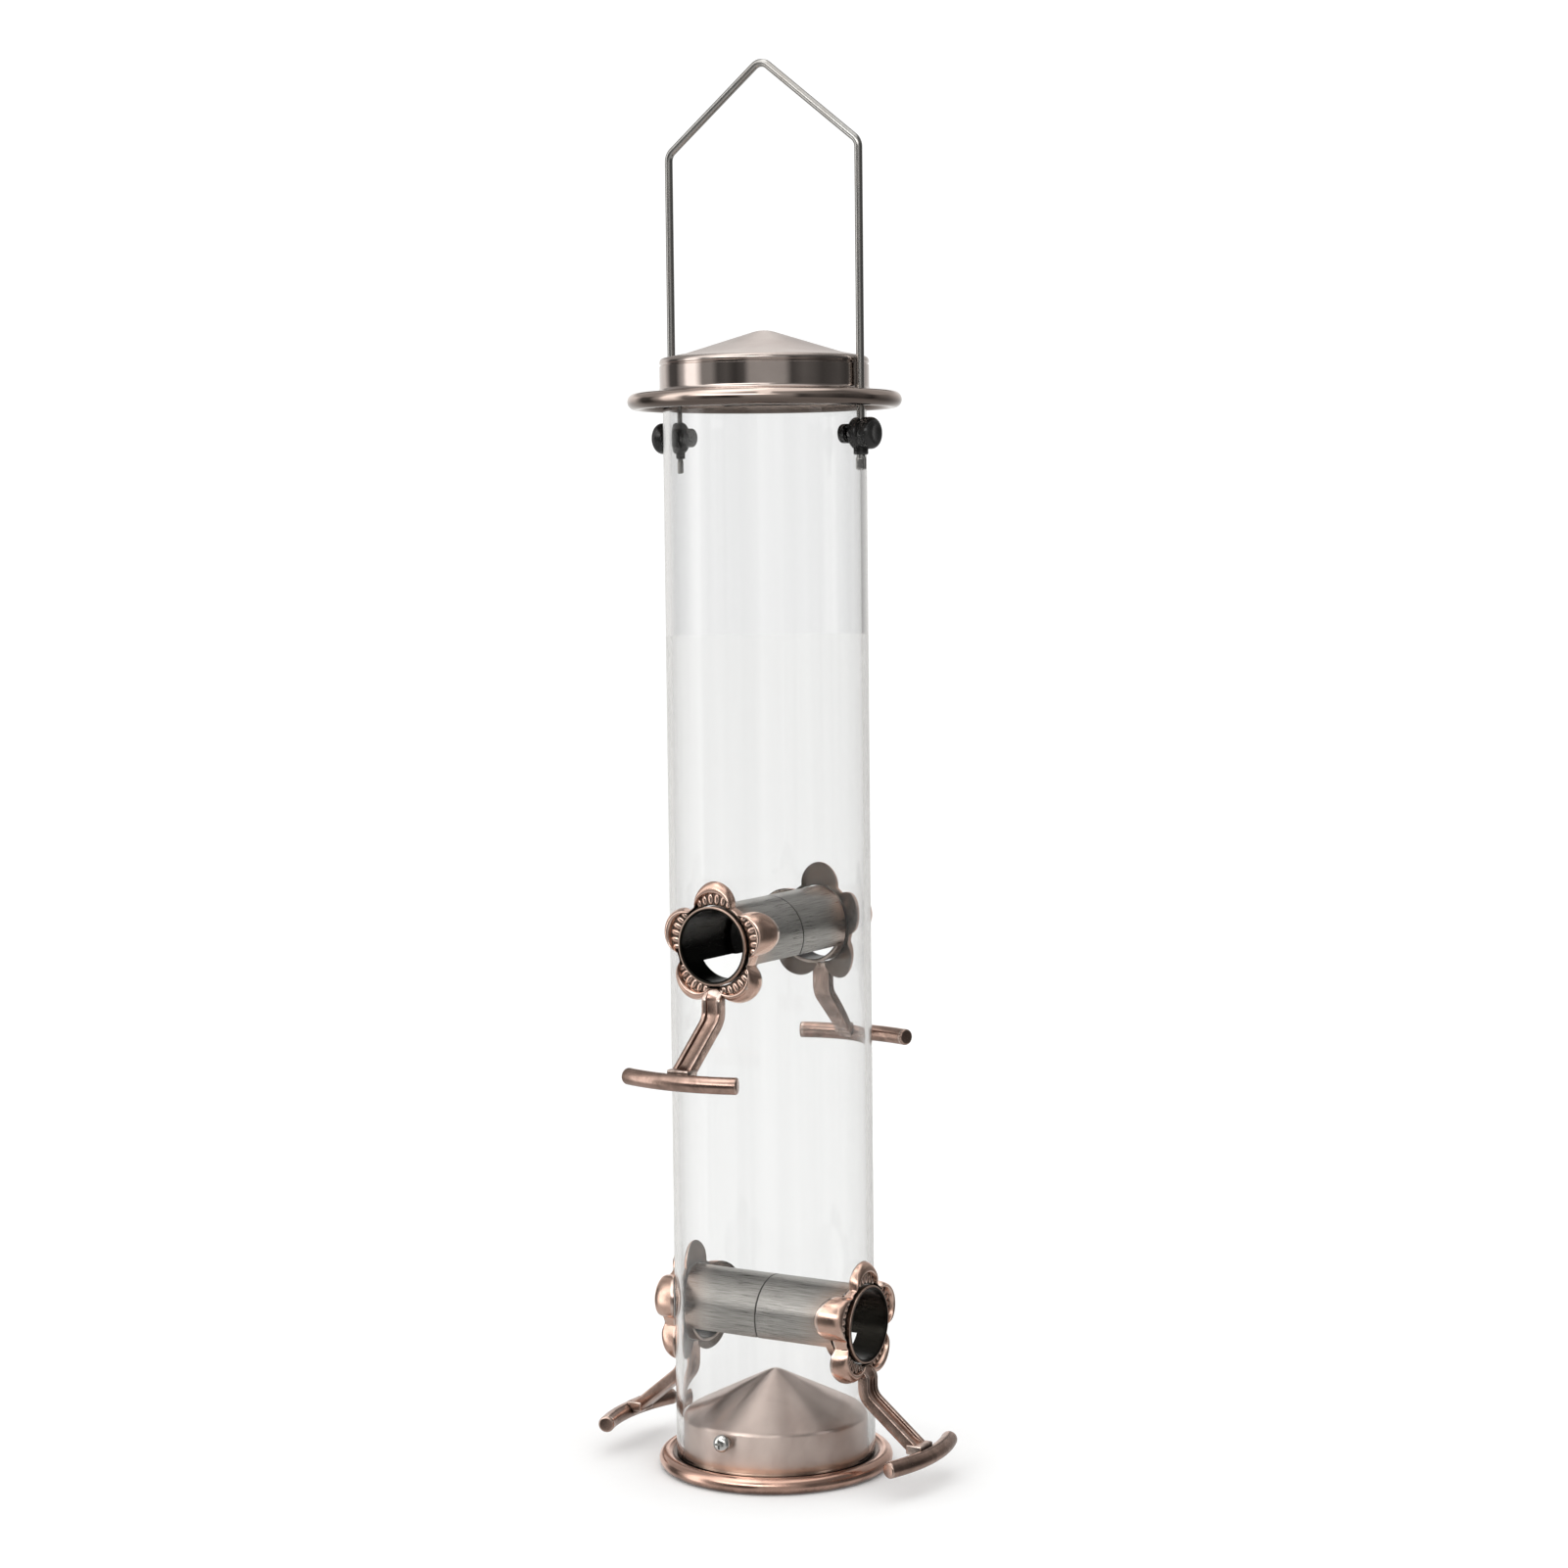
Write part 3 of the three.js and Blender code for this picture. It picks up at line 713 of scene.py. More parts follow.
def round_set_tree():
    """One piece made pointing along +Y, set several times round the upright axis."""
    tree, given, out = shape_tree(
        "Set round the tube", [("Count", "Int", 2), ("First turn", "Float", 0.0), ("Height", "Float", 0.0)]
    )
    spots = shape(tree, "Points", {"Count": given["Count"]})
    index = Rule(tree, shape(tree, "InputIndex"))
    turn = index * (2 * pi) / given["Count"] + given["First turn"]
    sockets = {"Points": spots, "Instance": given["Geometry"], "Rotation": joined(tree, 0.0, 0.0, turn)}
    copies = shape(tree, "InstanceOnPoints", sockets)
    lift = joined(tree, 0.0, 0.0, given["Height"])
    return finish_tree(tree, given, out, shape(tree, "Transform", {"Geometry": copies, "Translation": lift}))


def flower_tree():
    """Draws a turned ring out into petals that lean back onto the tube, and sets ribs on their fans."""
    tree, given, out = shape_tree(
        "Petal ring",
        [(name, "Int", 5) for name in ("Petals", "Ribs per petal")]
        + floats(**{name: value * MM for name, value in PETAL_SIZES.items()}),
    )
    v = Named(**{name.lower().replace(" ", "_"): Rule(tree, given[name]) for name in given.keys() if name})
    x, y, z = parts(tree, shape(tree, "InputPosition"))
    angle = x.math("ARCTAN2", z)
    out_share, hold = carried(tree, "out"), carried(tree, "hold")
    pitch = v.petals.math("POWER", -1.0) * (2 * pi)
    off = angle - pitch * (angle / pitch).math("ROUND")
    side = v.petal_centre * off.math("SINE")
    chord = (v.petal_radius * v.petal_radius - side * side).most(0.0).math("SQRT")
    lobe = v.petal_centre * off.math("COSINE") + chord
    edge = lobe.most(v.notch).math("SMOOTH_MAX", v.notch, 0.0012)
    radius = v.bore + out_share * (edge - v.bore)
    across, up = radius * angle.math("SINE"), radius * angle.math("COSINE")
    back = (v.back_radius * v.back_radius - across * across).math("SQRT")
    share = (off / (pitch * 0.5)).math("ABSOLUTE")
    dip = v.valley * share.step(0.6, 1.0) * out_share.step(0.12, 0.5)
    depth = back + (y - dip - back) * hold
    moved = joined(tree, across, depth, up)
    petals = shape(tree, "SetPosition", {"Geometry": given["Geometry"], "Position": moved})

    # Ribs: one bead, laid out like the spokes of each petal's fan.
    total = v.petals * v.ribs_per_petal
    spots = shape(tree, "Points", {"Count": total})
    index = Rule(tree, shape(tree, "InputIndex"))
    petal = (index / v.ribs_per_petal).math("FLOOR")
    spoke = index - petal * v.ribs_per_petal - (v.ribs_per_petal - 1.0) * 0.5
    fan = spoke / v.ribs_per_petal
    bearing = petal * pitch + fan * pitch * 0.74
    shorter = fan * fan * -1.6 + 1.0
    length = v.rib_length * shorter
    middle = v.rib_start + length * 0.5
    spot = joined(tree, middle * bearing.math("SINE"), v.rib_height, middle * bearing.math("COSINE"))
    laid = shape(tree, "SetPosition", {"Geometry": spots, "Position": spot})
    bead = shape(tree, "MeshIcoSphere", {"Radius": 0.5, "Subdivisions": 3})
    size = joined(tree, v.rib_width, v.rib_width * 0.5, length)
    spin = joined(tree, 0.0, bearing, 0.0)
    sockets = {"Points": laid, "Instance": bead, "Rotation": spin, "Scale": size}
    ribs = shape(tree, "InstanceOnPoints", sockets)
    smooth = shape(tree, "SetShadeSmooth", {0: ribs})
    both = put(tree, "GeometryNodeJoinGeometry")
    for source in (petals, smooth):
        join_up(tree, both.inputs[0], source)
    return finish_tree(tree, given, out, both.outputs[0])


BENT_ROD = bent_rod_tree()
SET_ROUND = round_set_tree()
PETAL_RING = flower_tree()


def carry(mesh, name, values):
    """Gives each point of a mesh a number."""
    mesh.attributes.new(name, "FLOAT", "POINT").data.foreach_set("value", np.asarray(values, np.float32))


def bent_rod(name, points, girth, radius, material, Bend=0.0, Sides=48):
    """A rod along a path of points, with its share of the radius at each."""
    mesh = bpy.data.meshes.new("line")
    edges = [(i, i + 1) for i in range(len(points) - 1)]
    mesh.from_pydata([tuple(p) for p in np.asarray(points, float) * MM], edges, [])
    carry(mesh, "girth", girth)
    values = {"Radius": radius * MM, "Bend": Bend, "Sides": Sides}
    return grown(name, shown("line", mesh), BENT_ROD, material, **values)


# ---- tube, foot and cone ----


def feeder_tube():
    outer, inner = TUBE.outer, TUBE.outer - TUBE.wall
    low, high, rim = TUBE.bottom, TUBE.top, TUBE.rim
    ends = [(inner, low + rim), (inner + rim, low), (outer - rim, low), (outer, low + rim)]
    ends += [(outer, high - rim), (outer - rim, high), (inner + rim, high), (inner, high - rim)]
    made = turned("clear_tube_wall", fine(ends, 9.0), CLEAR_TUBE, FULL_TURN)
    reach = (inner - 4, outer + 4)
    cutters = [placed(rod(PORT_HOLE, *reach, 96), turn, height) for _, turn, height, _ in PORTS]
    for front, side in zip(pair(SCREW, UPPER_TURN, reach), pair(KNOB, HANGER.turn, reach)):
        cutters += [front, side]
    cut(made, *cutters)
    made.visible_shadow = False
    return made


def base_foot():
    centre, ledge, well, floor = FOOT.bead_centre, FOOT.ledge, FOOT.well, FOOT.floor
    profile = [(0, 0.25), (20, 0.25), (20.4, 0.0), (centre - 4, 0.0)]
    profile += arc(centre, FOOT.bead, FOOT.bead, -90, 138, 40) + [(32.85, ledge - 0.05), (32.6, ledge)]
    profile += [(well + 0.4, ledge), *arc(well + 0.4, ledge - 0.4, 0.4, 90, 180, 4)]
    profile += [*arc(well - 0.6, floor + 0.6, 0.6, 0, -90, 4), (0, floor)]
    return turned("rolled_foot", profile, COPPER_RIM, FULL_TURN, sharp=40.0)


def seed_cone():
    skirt, wall, bottom = CONE.skirt, CONE.wall, CONE.bottom
    shoulder, apex = CONE.shoulder, CONE.apex
    slope = atan2(apex - shoulder, skirt)

    def roof(top, edge, soft):
        low = shoulder - soft - (apex - top)
        return eased_tip(top, CONE_TIP, slope) + arc(edge - soft, low, soft, 90 - degrees(slope), 0, 10)

    outside = fine(roof(apex, skirt, CONE_SHOULDER) + [(skirt, bottom)], 2.5)
    outside = outside[: outside.index((skirt, bottom)) + 1]
    inside = roof(apex - wall, skirt - wall, CONE_SHOULDER - 0.5) + [(skirt - wall, bottom)]
    made = turned("seed_cone_shell", outside + inside[::-1], SATIN_COPPER, FULL_TURN)
    return cut(made, *pair(SCREW, UPPER_TURN, (skirt - 4, skirt + 4)))


def screw_body():
    """A pan-head machine screw with a cross recess and a few turns of thread showing on its shank."""
    shank, head, tall, seat, tip = SCREW.shank, SCREW.head, SCREW.tall, SCREW.seat, SCREW.tip
    profile = [(0, tip), (shank - 0.35, tip), (shank, tip + 0.45)]
    pitch, groove, rim = 0.5, 0.22, 0.5
    for i in range(int((seat - tip - 1.2) / pitch)):
        start = tip + 0.6 + i * pitch
        profile += [(shank, start), (shank - groove, start + pitch * 0.5)]
    profile += [(shank, seat - 0.3), (shank, seat), (head - 0.15, seat)]
    profile += [(head, seat + 0.15), (head, seat + rim)]
    for a in np.radians(range(10, 90, 8)):
        profile.append((head * cos(a) ** 0.75, seat + rim + (tall - rim) * sin(a)))
    made = turned("base_screw", profile + [(0, seat + tall)], SCREW_STEEL, 48, along_y=True, sharp=28.0)
    long, thin, bottom = 2.9, 0.62, seat + 1.45
    arms = [block(w, (bottom, seat + tall + 1), (-t / 2, t / 2)) for w, t in ((long, thin), (thin, long))]
    return cut(made, *arms)


def hex_nut():
    corner, hole, face = BASE_NUT.across / sqrt(3), BASE_NUT.hole, BASE_NUT.face
    back = face - BASE_NUT.thick
    ring = [(hole, back), (corner, back), (corner, face), (hole, face)]
    made = turned("base_nut", ring, SCREW_STEEL, 6, along_y=True, sharp=20.0)
    made.data.transform(Matrix.Rotation(radians(30), 4, "Y"))
    return eased(made, 0.25, 2)


def set_round(name, body, material, turn, height):
    values = {"Count": 2, "First_turn": radians(turn), "Height": height * MM}
    return grown(name, body, SET_ROUND, material, **values)


# ---- feeding ports ----


def mark_inside(made, turn, height):
    """A number on each point: 1 on the sleeve's inner wall, 0 outside; the sleeve finish paints shade where
    it is 1.
    """
    mesh = made.data
    points = np.empty(len(mesh.vertices) * 3, np.float32)
    mesh.vertices.foreach_get("co", points)
    points = points.reshape(-1, 3) / MM
    a = radians(turn)
    across = points[:, 0] * cos(a) + points[:, 1] * sin(a)
    radius = np.hypot(across, points[:, 2] - height)
    carry(mesh, "inside", radius < SLEEVE.inner + 0.55)
    return made


def port_sleeve(port, turn, height, tongue):
    s = SLEEVE
    profile = [(s.inner, s.start), (s.outer, s.start), (s.outer, s.lip_back - 0.3)]
    profile += arc(s.lip - 0.4, s.mouth - 0.4, 0.4, 0, 90, 5)
    profile += arc(s.inner + 0.5, s.mouth - 0.5, 0.5, 90, 180, 5)
    made = turned("port_sleeve_wall_" + port, fine(profile, 1.6), SLEEVE_METAL, SLEEVE_TURN, along_y=True)
    if tongue:
        t = TONGUE
        strip = [(t.inner, -t.reach), (t.outer, -t.reach), (t.outer, 2.0), (s.inner + 0.2, 2.0)]
        strip += [(s.inner + 0.2, t.root), (t.inner, t.root)]
        cut(made, turned("tongue", fine(strip, 2.0), SLEEVE_METAL, SLEEVE_TURN, along_y=True), how="UNION")
    cut(made, block(60.0, (-30.0, ARCH.collar), (-40.0, ARCH.cut)))
    return mark_inside(placed(made, turn, height), turn, height)


def port_flower(port, turn, height):
    """A ring profile with how far out each point lies and how firmly it holds its own height."""
    crown, face = FLOWER.crown, FLOWER.face
    floor = face - FAN.depth
    front = [(0.0, floor - 0.3, 1)]
    front += [(out, floor, 1) for out in (0.02, 0.10, 0.20, 0.30, 0.40, FAN.end - 0.03)]
    front += [(FAN.end, floor + 0.15, 1)]
    front += [(FAN.end + 0.02, face, 1), (FAN.end + 0.06, crown - 0.3, 1), (FAN.end + 0.10, crown - 0.06, 1)]
    top = FAN.end + 0.14
    front.append((top, crown, 1))
    for i in range(1, 15):
        a = i / 14 * pi / 2
        front.append((top + (1 - top) * sin(a), crown, max(0.16, cos(a))))
    front.append((1.0, crown, 0.06))
    rows = front + [(out, crown, 0.0) for out in (0.985, 0.8, 0.6, 0.4, 0.2, 0.0)]
    segments, count = 300, len(rows)
    angles = np.linspace(0, 2 * pi, segments, endpoint=False)
    points = [((1 + o) * sin(a), y, (1 + o) * cos(a)) for o, y, _ in rows for a in angles]
    mesh = bpy.data.meshes.new("petal_ring")
    mesh.from_pydata([(x, y * MM, z) for x, y, z in points], [], grid(range(count), count, segments))
    # The back rows carry 1.4 for painted shade behind the petals, where they lie against the tube; the fan
    # floor carries 1 for patina in its hollow.
    hollow = [1.4 if row[2] == 0 else float(row[1] < face - 0.12) for row in rows]
    columns = {"out": [row[0] for row in rows], "hold": [row[2] for row in rows], "hollow": hollow}
    for name, column in columns.items():
        carry(mesh, name, np.repeat(column, segments))
    base = shown("petal_ring", mesh)
    sizes = {name: value * MM for name, value in PETAL_SIZES.items()}
    counts = {"Petals": PETALS, "Ribs_per_petal": FAN.ribs}
    made = grown("petal_flower_" + port, base, PETAL_RING, PETAL_COPPER, **counts, **sizes)
    settle(made.data, 50.0)
    return placed(made, turn, height)


def channel_section(width, back, front, depth):
    """The outline of a strap with a channel down its front, as (across, depth) pairs."""
    half, mouth = width / 2, CHANNEL.width / 2
    soft, edge = 0.7, 0.45
    lip, fillet = min(0.35, 0.4 * depth), min(0.45, 0.5 * depth)
    right = arc(half - soft, back + soft, soft, -90, 0, 4) + arc(half - edge, front - edge, edge, 0, 90, 4)
    right += arc(mouth + lip, front - lip, lip, 90, 180, 4)
    right += arc(mouth - fillet, front - depth + fillet, fillet, 0, -90, 4)
    return right + [(-x, y) for x, y in right[::-1]]


def perch_stem(port, turn, height):
    """A cast strap that leaves the flower, bends outward and lands on a pad over the bar."""
    line, bend, lean = STEM.line, STEM.bend, radians(STEM.lean)
    half = STEM.thick / 2
    out, down = sin(lean), cos(lean)
    end = (line + bend * (1 - down), STEM.bend_start - bend * out)
    run = (BAR.orbit - (BAR.radius + 0.3) * out - end[0]) / out
    stations = [(line, z, 0.0) for z in np.linspace(STEM.top, STEM.bend_start, 8)]
    for a in np.linspace(0, lean, 9)[1:]:
        stations.append((line + bend * (1 - cos(a)), STEM.bend_start - bend * sin(a), a))
    for s in np.linspace(0, run, 13)[1:]:
        stations.append((end[0] + s * out, end[1] - s * down, lean))
    rings = []
    for i, (y, z, a) in enumerate(stations):
        gone = STEM.top - z
        rise = min(1.0, 0.35 + gone / 5.0)
        channel = CHANNEL.depth * min(1.0, max(0.02, (gone - 1.0) / 4.0))
        if i >= len(stations) - 3:
            channel *= (len(stations) - 1 - i) / 3 + 0.02
        section = channel_section(STEM.width, -half, half * (2 * rise - 1), channel)
        rings.append([(x, y + d * cos(a), z + d * sin(a)) for x, d in section])
    made = skinned("perch_stem_strap_" + port, rings, SHADED_PERCH_COPPER, 42.0)
    pad = block(PAD.width, (PAD.inner, PAD.outer), (PAD.low, PAD.high))
    cut(made, eased(pad, 0.55, 4), how="UNION")
    path = [bar_spot(a) for a in np.radians(np.linspace(-BAR.half_angle, BAR.half_angle, 41))]
    seat = bent_rod("seat", path, np.ones(len(path)), BAR.radius + 0.1, None)
    settle(seat.data)
    cut(made, seat)
    made.data.materials.clear()
    made.data.materials.append(SHADED_PERCH_COPPER)
    return placed(made, turn, height)


def bar_spot(angle):
    """A spot on the bar's bowed middle line."""
    return BAR.orbit * sin(angle), BAR.orbit * cos(angle), BAR.height


def perch_bar(port, turn, height):
    """The bar bows round the tube, and its ends are eased so no bird meets a sharp edge."""
    length = radians(BAR.half_angle) * BAR.orbit
    soft = [BAR.round * (1 - cos(a)) for a in np.radians(np.linspace(0, 90, 7))]
    offs = sorted({*soft, *np.linspace(BAR.round, length, 36)})
    spots = [-length + s for s in offs] + [length - s for s in offs[::-1][1:]]
    girth, path = [], []
    for s in spots:
        gone = min(length - abs(s), BAR.round)
        inset = BAR.round - sqrt(max(0.0, BAR.round ** 2 - (BAR.round - gone) ** 2))
        girth.append(1 - inset / BAR.radius)
        path.append(bar_spot(s / BAR.orbit))
    made = bent_rod("perch_bar_" + port + "_rod", path, girth, BAR.radius, SHADED_PERCH_COPPER)
    settle(made.data, 40.0)
    return placed(made, turn, height)


# ---- lid ----


def lid_shell():
    """Spun sheet: a shallow roof, a straight wall and a brim rolled round a wire."""
    apex, flare, sheet, wall, brim = LID.apex, LID.flare, LID.sheet, LID.wall, LID.brim
    tips = eased_tip(apex, LID.tip, atan(LID.slope))
    flare_height = tips[-1][1] - LID.slope * (flare - tips[-1][0])
    edge, shoulder, soft = wall - LID.shoulder, LID.roof - LID.shoulder, LID.fillet
    profile = tips + [(12.0, flare_height + LID.slope * (flare - 12.0)), (flare, flare_height)]
    profile += arc(edge, shoulder, LID.shoulder, 80, 0, 10)
    groove = wall - LID.groove
    profile += [(wall, 351.6), (groove, 351.3), (groove, 351.0), (wall, 350.7), (wall, 350.0), (wall, 347.0)]
    profile += arc(wall + soft, brim + soft, soft, 180, 270, 8)
    profile += arc(LID.bead_centre, LID.bead_height, LID.bead, 90, -200, 56)
    inner = wall - sheet
    profile += [(LID.bead_centre - LID.bead + 0.3, brim - 0.3 - sheet), (inner + 0.6, brim - sheet - 0.1)]
    profile += [(inner, brim - sheet + 0.6), *arc(edge, shoulder, LID.shoulder - sheet, 0, 80, 8)]
    profile += [(flare, flare_height - sheet), (0, apex - sheet - 0.2)]
    made = turned("lid_shell", profile, LID_COPPER, FULL_TURN, sharp=38.0)
    holes = []
    for side in (-1, 1):
        drill = upright("drill", BRIM_HOLE, (-3, 2), side * HANGER.leg, brim)
        holes.append(placed(drill, HANGER.turn, 0))
    return cut(made, *holes)


# ---- hanger ----


def hanger_bail():
    leg, foot = HANGER.leg, HANGER.foot
    start = foot + FLAT_TIP.tall - 1.0
    corners = [(0, -leg, start), (0, -leg, HANGER.kink), (0, 0, HANGER.apex)]
    corners += [(0, leg, HANGER.kink), (0, leg, start)]
    girth = np.ones(len(corners))
    made = bent_rod("hanger_bail", corners, girth, HANGER.wire, HANGER_STEEL, Bend=HANGER.bend * MM, Sides=40)
    settle(made.data, 60.0)
    return placed(made, HANGER.turn, 0)


def hanger_tip(side):
    """The end of a leg, pressed flat so it can't pull back through its knob."""
    leg, foot, wire = HANGER.leg * side, HANGER.foot - 0.2, HANGER.wire
    circle = [(cos(a), sin(a)) for a in np.radians(range(0, 360, 9))]
    rings = []
    for share in np.linspace(0, 1, 22):
        z = foot + (FLAT_TIP.tall + 0.6) * (1 - share)
        press = min(1.0, share / 0.35)
        press = press * press * (3 - 2 * press)
        wide = wire + (FLAT_TIP.wide / 2 - wire) * press
        thick = wire + (FLAT_TIP.thick / 2 - wire) * press
        close = sqrt(max(0.0, 1 - max(0.0, (share - 0.9) / 0.1) ** 2)) * 0.35 + 0.65
        power = 1 - 0.45 * press
        ring = [(copysign(abs(c) ** power, c), copysign(abs(d) ** power, d)) for c, d in circle]
        rings.append([(c * thick * close, leg + d * wide * close, z) for c, d in ring])
    made = skinned("hanger_tip_" + ("right" if side > 0 else "left"), rings, HANGER_STEEL, 55.0)
    return placed(made, HANGER.turn, 0)


def knob_body():
    """A moulded spool: a flange on the tube, a waist where the leg runs, and a domed cap."""
    r, back, front, stud = KNOB.radius, KNOB.back, KNOB.front, KNOB.stud
    profile = [(0, KNOB.stud_end), (stud - 0.2, KNOB.stud_end), (stud, KNOB.stud_end + 0.2), (stud, back)]
    profile += [(r - 1.1, back), *arc(r - 0.9, back + 0.9, 0.9, -80, 0, 6)]
    profile += [(r, back + 2.3), (r - 0.15, back + 2.75), (r - 0.5, back + 3.05), (r - 0.5, back + 3.35)]
    profile += [(r - 0.15, back + 3.65), (r, back + 4.1)]
    profile += arc(r - 2.1, front - 2.1, 2.1, 0, 84, 10)
    profile += [(r - 2.6, front - 0.03), (r - 2.9, front - 0.18), (0, front - 0.18)]
    made = turned("knob", profile, BLACK_PLASTIC, 96, along_y=True, sharp=44.0)
    low, wide = COLLAR.low, COLLAR.radius
    ring = [(0, low), (wide - 0.3, low), (wide, low + 0.3), (wide, -3), (0, -3)]
    collar = turned("collar", ring, BLACK_PLASTIC, 48)
    collar.data.transform(Matrix.Translation((0, HANGER.leg * MM, 0)))
    cut(made, collar, how="UNION")
    return cut(made, upright("bore", COLLAR.bore, (-20, 20), HANGER.leg, 0))


def knob_nut_body():
    outer, hole, inner, face = KNOB_NUT.outer, KNOB_NUT.hole, KNOB_NUT.inner, KNOB_NUT.face
    ring = [(hole, inner), (outer - 0.9, inner), *arc(outer - 0.8, inner + 0.8, 0.8, -85, 0, 6)]
    ring += [(outer, face - 0.2), (outer - 0.2, face), (hole, face)]
    return turned("knob_nut", ring, BLACK_PLASTIC, 64, along_y=True)


# ---- assembly ----


def own(made, body, slot, *nodes):
    """Rides a piece on its body and stands it in for its CAD nodes; its slot is not used."""
    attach(made, body)
    if nodes:
        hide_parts(*nodes)
    return made


own(feeder_tube(), "feeder", "clear_tube", "feeder_tube")
own(base_foot(), "feeder", "copper_rim", "base_tray")
own(seed_cone(), "feeder", "satin_copper", "seed_cone")
own(lid_shell(), "lid", "lid_copper", "lid_cap")

screws = set_round("base_screws", screw_body(), SCREW_STEEL, UPPER_TURN, SCREW.height)
own(screws, "feeder", "screw_steel", "base_screw_front", "base_screw_back")
nuts = set_round("base_nuts", hex_nut(), SCREW_STEEL, UPPER_TURN, SCREW.height)
own(nuts, "feeder", "screw_steel", "base_nut_front", "base_nut_back")

for port, turn, height, tongue in PORTS:
    sleeve = own(port_sleeve(port, turn, height, tongue), "feeder", "sleeve_metal", "port_sleeve_" + port)
    sleeve.visible_glossy = port.startswith("upper")
    own(port_flower(port, turn, height), "feeder", "antique_copper", "port_flower_" + port)
    own(perch_stem(port, turn, height), "feeder", "antique_copper", "perch_stem_" + port)
    own(perch_bar(port, turn, height), "feeder", "antique_copper", "perch_bar_" + port)

own(hanger_bail(), "feeder", "hanger_steel", "hanger_wire")
for side in (-1, 1):
    own(hanger_tip(side), "feeder", "hanger_steel")
knobs = set_round("hanger_knobs", knob_body(), BLACK_PLASTIC, HANGER.turn, KNOB.height)
own(knobs, "feeder", "black_plastic", "hanger_knob_right", "hanger_knob_left")
knob_nuts = set_round("knob_nuts", knob_nut_body(), BLACK_PLASTIC, HANGER.turn, KNOB.height)
own(knob_nuts, "feeder", "black_plastic", "knob_nut_right", "knob_nut_left")

# ---- camera, floor and light ----


CAMERA = Named(place=(0.0, -1.0167, 0.3006), pitch=4.577, yaw=0.271, roll=-0.618, lens=73.89)


def studio_camera():
    pitch, yaw, roll = map(radians, (CAMERA.pitch, CAMERA.yaw, CAMERA.roll))
    forward = Vector((sin(yaw) * cos(pitch), cos(yaw) * cos(pitch), -sin(pitch)))
    level = Vector((cos(yaw), -sin(yaw), 0))
    rise = level.cross(forward)
    right = level * cos(roll) + rise * sin(roll)
    up = rise * cos(roll) - level * sin(roll)
    data = bpy.data.cameras.new("studio_camera")
    data.sensor_width, data.lens = 36.0, CAMERA.lens
    data.clip_start, data.clip_end = 0.05, 60.0
    made = shown("studio_camera", data)
    turn = Matrix((right, up, -forward)).transposed().to_4x4()
    made.matrix_world = Matrix.Translation(CAMERA.place) @ turn
    bpy.context.scene.camera = made


def pale_floor():
    mesh, reach = bpy.data.meshes.new("pale_floor"), 8
    ring = [(reach * cos(a), reach * sin(a), 0) for a in np.radians(range(0, 360, 5))]
    mesh.from_pydata(ring, [], [list(range(len(ring)))])
    f = Finish("pale_floor_paper", Roughness=0.9, Metallic=0.0)
    fibre = noise(f.tree, f.place, 240.0, 4.0, 0.6)
    f.set(Base_Color=f.colour(fibre, (0.93, 0.93, 0.925), (0.96, 0.96, 0.955)))
    mesh.materials.append(f.material)
    made = shown("pale_floor", mesh)
    made.visible_glossy = False


def soft_light(name, place, aim, size, power):
    data = bpy.data.lights.new(name, "AREA")
    data.shape, data.size, data.size_y, data.energy = "RECTANGLE", size[0], size[1], power
    made = shown(name, data)
    made.location = place
    made.rotation_mode = "QUATERNION"
    made.rotation_quaternion = (Vector(aim) - Vector(place)).to_track_quat("-Z", "Y")
    made.visible_glossy = False


def ramp(tree, position, stops):
    made = put(tree, "ValToRGB", {0: position})
    band = made.color_ramp.elements
    while len(band) > 1:
        band.remove(band[-1])
    for i, (spot, level) in enumerate(stops):
        stop = band[0] if i == 0 else band.new(spot)
        stop.position = spot
        stop.color = (level, level, level, 1)
    return Rule(tree, made.outputs[0])


def round_ramp(tree, bearing, levels):
    """Brightness all round the room, from a table of degrees; a ramp holds half of it, to stay under one."""
    return ramp(tree, bearing, [((turn + 180) / 360, level / 2) for turn, level in levels]) * 2.0


# What polished metal sees round the studio: bearing from behind the camera, in degrees, and brightness.
ROOM_BANDS = [
    (-180, 0.95), (-140, 0.80), (-126, 0.10), (-112, 0.08), (-100, 0.60), (-94, 1.7), (-82, 1.7), (-72, 0.30),
    (-60, 0.30), (-52, 0.08), (-42, 0.11), (-32, 0.05), (-22, 0.10), (-16, 0.38), (4, 0.40), (22, 0.36),
    (30, 0.07), (44, 0.13), (56, 0.10), (66, 0.06), (90, 0.09), (102, 0.05), (112, 0.15), (128, 0.22),
    (150, 0.5), (180, 0.95),
]

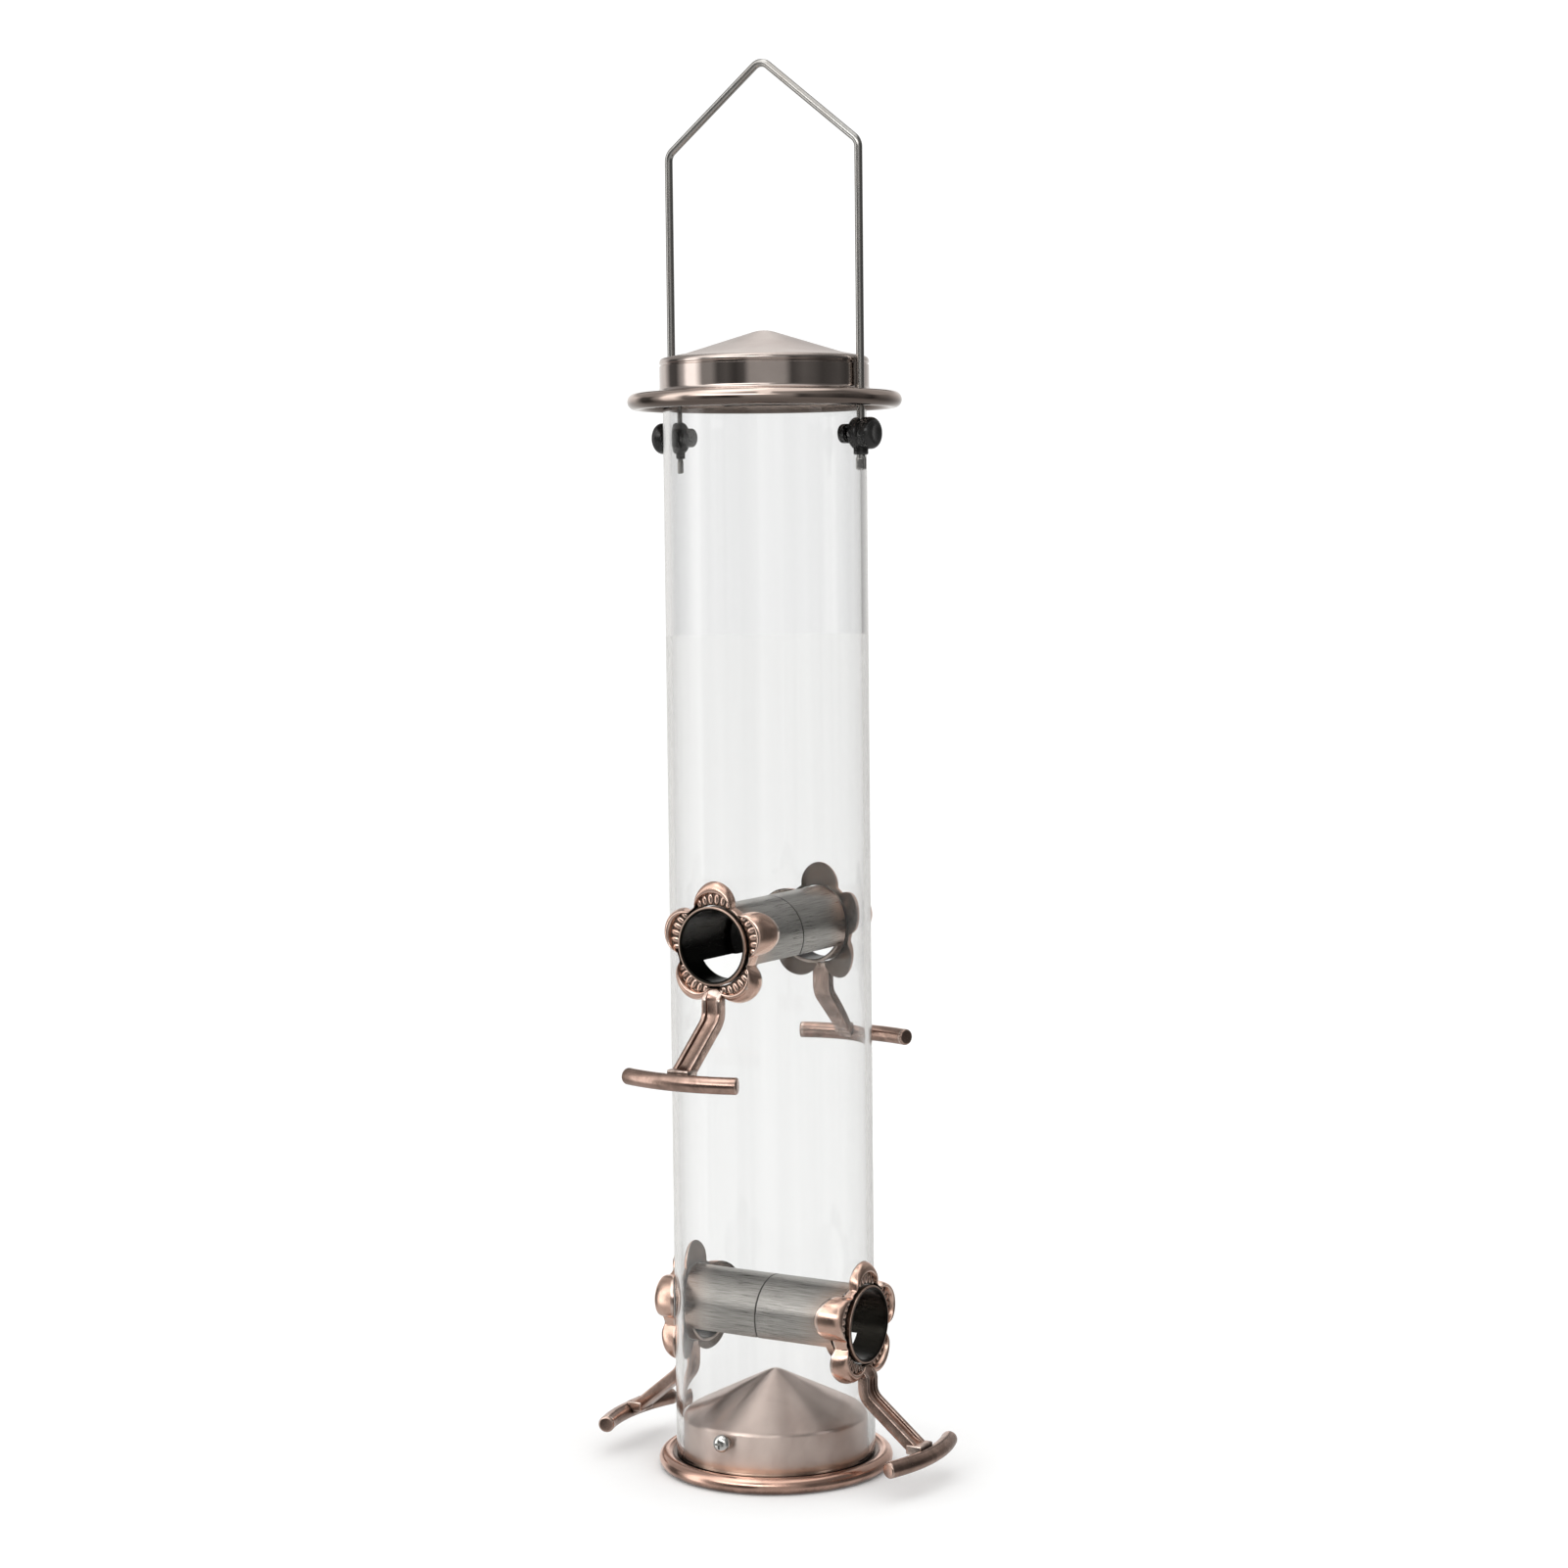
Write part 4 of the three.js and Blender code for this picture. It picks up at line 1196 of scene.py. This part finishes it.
# The same overhead, from -180 to 180 degrees, and for the strips over the wall behind the feeder.
OVERHEAD = [
    (-180, 1.0), (-120, 0.8), (-60, 1.7), (-20, 0.4), (20, 0.3),
    (60, 0.16), (120, 0.08), (150, 0.4), (180, 1.0),
]
BACK_STRIPS = [(0.0, 1.0), (0.09, 0.95), (0.14, 0.08), (0.28, 0.07), (0.36, 0.42), (0.6, 0.36), (1.0, 0.3)]


def studio_room():
    """White to the eye and through the tube; metal sees darker walls, lamps and a grey floor."""
    world = bpy.data.worlds.new("studio_room")
    world.use_nodes = True
    tree = world.node_tree
    back = tree.nodes["Background"]
    x, y, z = parts(tree, put(tree, "TexCoord").outputs["Generated"])
    bearing = x.math("ARCTAN2", y * -1.0) / (2 * pi) + 0.5
    walls, overhead = round_ramp(tree, bearing, ROOM_BANDS), round_ramp(tree, bearing, OVERHEAD)
    lamp = ramp(tree, bearing, [(0.30, 0.0), (0.36, 1.0), (0.46, 1.0), (0.54, 0.0)])
    high = z.step(0.3, 0.6)
    level = walls * (high * -1.0 + 1.0) + overhead * high
    level = level + lamp * (z.step(0.22, 0.30) - z.step(0.45, 0.55)) * 2.8
    strips = ramp(tree, (x / y.most(0.01)).math("ABSOLUTE"), BACK_STRIPS) * 1.1
    behind = y.step(0.0, 0.45) * z.step(0.22, 0.36)
    level = level * (behind * -1.0 + 1.0) + strips * behind + z.step(0.80, 0.93) * 0.9
    strip_light = (x.math("ABSOLUTE") * -1.0 + 0.12).step(0.0, 0.06) * z.step(0.4, 0.6)
    level = level.most(strip_light * 1.2)
    low = (z * -1.0).step(0.22, 0.6)
    seen = level * (low * -1.0 + 1.0) + low * 0.5
    path = put(tree, "LightPath").outputs
    metal = Rule(tree, path["Glossy Depth"]).least(1.0)
    soft = Rule(tree, path["Is Diffuse Ray"]) * 0.07 + 1.1
    warm = joined(tree, seen, seen * 0.985, seen * 0.965)
    join_up(tree, back.inputs["Color"], blend_colours(tree, metal, joined(tree, soft, soft, soft), warm))
    back.inputs["Strength"].default_value = 1.0
    bpy.context.scene.world = world


studio_camera()
pale_floor()
studio_room()
soft_light("left_softbox", (-1.1, -1.0, 1.1), (0, 0, 0.2), (0.7, 1.0), 3.5)
soft_light("right_softbox", (1.3, -0.7, 0.8), (0, 0, 0.2), (0.5, 0.9), 1.5)
bpy.context.scene.view_settings.view_transform = "Standard"
